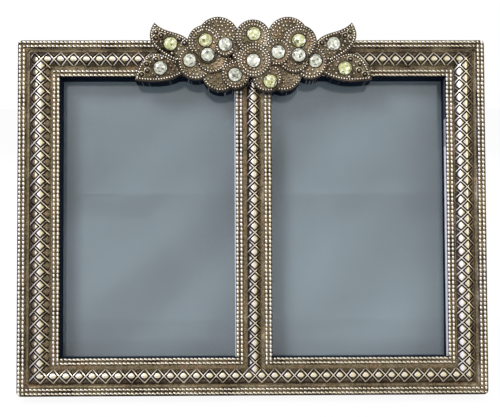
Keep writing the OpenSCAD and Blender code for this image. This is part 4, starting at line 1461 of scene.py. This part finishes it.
class PHOTOFRAME_OT_stage(bpy.types.Operator):
    """Sets the floor, the soft light and the camera"""

    bl_idname = "photoframe.stage"
    bl_label = "Stage"

    def floor(self):
        """Adds the pale floor."""
        bm = bmesh.new()
        bmesh.ops.create_grid(bm, x_segments=1, y_segments=1, size=FLOOR_SIZE)
        mesh = to_mesh(bm, "floor")
        floor = add_object("floor", mesh)
        material, tree, shader = new_material("pale_floor", {"Base Color": (*finish().floor, 1.0),
                                                             "Roughness": 0.9})
        glow = node(tree, "ShaderNodeEmission", {"Color": WHITE, "Strength": 1.0})
        show_over(tree, shader, glow, white_seen(tree, FLOOR_WHITE))
        mesh.materials.append(material)

    def studio(self, scene):
        """Adds the light from all round, and the white that the camera sees."""
        world = bpy.data.worlds.new("studio")
        scene.world = world
        world.use_nodes = True
        tree = world.node_tree
        tree.nodes.clear()
        ambient = node(tree, "ShaderNodeBackground", {"Color": WHITE, "Strength": AMBIENT})
        white = node(tree, "ShaderNodeBackground", {"Color": WHITE, "Strength": 1.0})
        both = node(tree, "ShaderNodeMixShader",
                    {0: white_seen(tree, 1.0), 1: ambient.outputs[0], 2: white.outputs[0]})
        node(tree, "ShaderNodeOutputWorld", {"Surface": both.outputs[0]})

    def lamps(self):
        """Adds the three lamps."""
        for name, place, size, power in LAMPS:
            lamp = bpy.data.lights.new(name, "AREA")
            lamp.size, lamp.energy = size, power
            holder = add_object(name, lamp)
            holder.location = place
            aim = Vector(AIM) - Vector(place)
            holder.rotation_euler = aim.to_track_quat("-Z", "Y").to_euler()

    def camera(self, scene):
        """Adds the camera, in front of the frame."""
        x, y, z = (Matrix.Rotation(math.radians(turn), 3, axis) for turn, axis in zip(CAMERA_TURN, "XYZ"))
        back = (z @ y @ x).transposed()
        place = back @ Vector(CAMERA_PLACE) + Vector((0, 0, mm(casting().bead_z)))
        lens = bpy.data.cameras.new("camera")
        lens.lens, lens.sensor_width, lens.shift_y = LENS, SENSOR, CAMERA_SHIFT
        lens.clip_start, lens.clip_end = 0.01, 20.0
        camera = add_object("camera", lens)
        plane = to_row()
        turn = (plane.to_3x3() * (1 / MM)) @ back
        camera.matrix_world = Matrix.Translation(plane @ place) @ turn.to_4x4()
        scene.camera = camera

    def execute(self, context):
        self.floor()
        self.studio(context.scene)
        self.lamps()
        self.camera(context.scene)
        context.scene.view_settings.view_transform = "Standard"
        return {"FINISHED"}


PIECES = (PHOTOFRAME_OT_body, PHOTOFRAME_OT_rails, PHOTOFRAME_OT_beads, PHOTOFRAME_OT_crest,
          PHOTOFRAME_OT_granules, PHOTOFRAME_OT_stones, PHOTOFRAME_OT_carried, PHOTOFRAME_OT_stage)


class PHOTOFRAME_PT_panel(bpy.types.Panel):
    """Lists the frame's pieces in the order in which they are built"""

    bl_idname = "PHOTOFRAME_PT_panel"
    bl_label = "Double photo frame"
    bl_space_type = "VIEW_3D"
    bl_region_type = "UI"
    bl_category = "Photo Frame"

    def draw(self, context):
        for piece in PIECES:
            self.layout.operator(piece.bl_idname)


GROUPS = (("photoframe_casting", PHOTOFRAME_PG_casting), ("photoframe_ornament", PHOTOFRAME_PG_ornament),
          ("photoframe_finish", PHOTOFRAME_PG_finish))


def register():
    """Registers the groups, the operators and the panel."""
    for name, group in GROUPS:
        bpy.utils.register_class(group)
        setattr(bpy.types.Scene, name, PointerProperty(type=group))
    for item in (*PIECES, PHOTOFRAME_PT_panel):
        bpy.utils.register_class(item)


def unregister():
    """Takes back what register() did."""
    for item in (PHOTOFRAME_PT_panel, *reversed(PIECES)):
        bpy.utils.unregister_class(item)
    for name, group in reversed(GROUPS):
        delattr(bpy.types.Scene, name)
        bpy.utils.unregister_class(group)


def main():
    register()
    for piece in PIECES:
        getattr(bpy.ops.photoframe, piece.bl_idname.split(".")[1])()


if __name__ == "__main__":
    main()
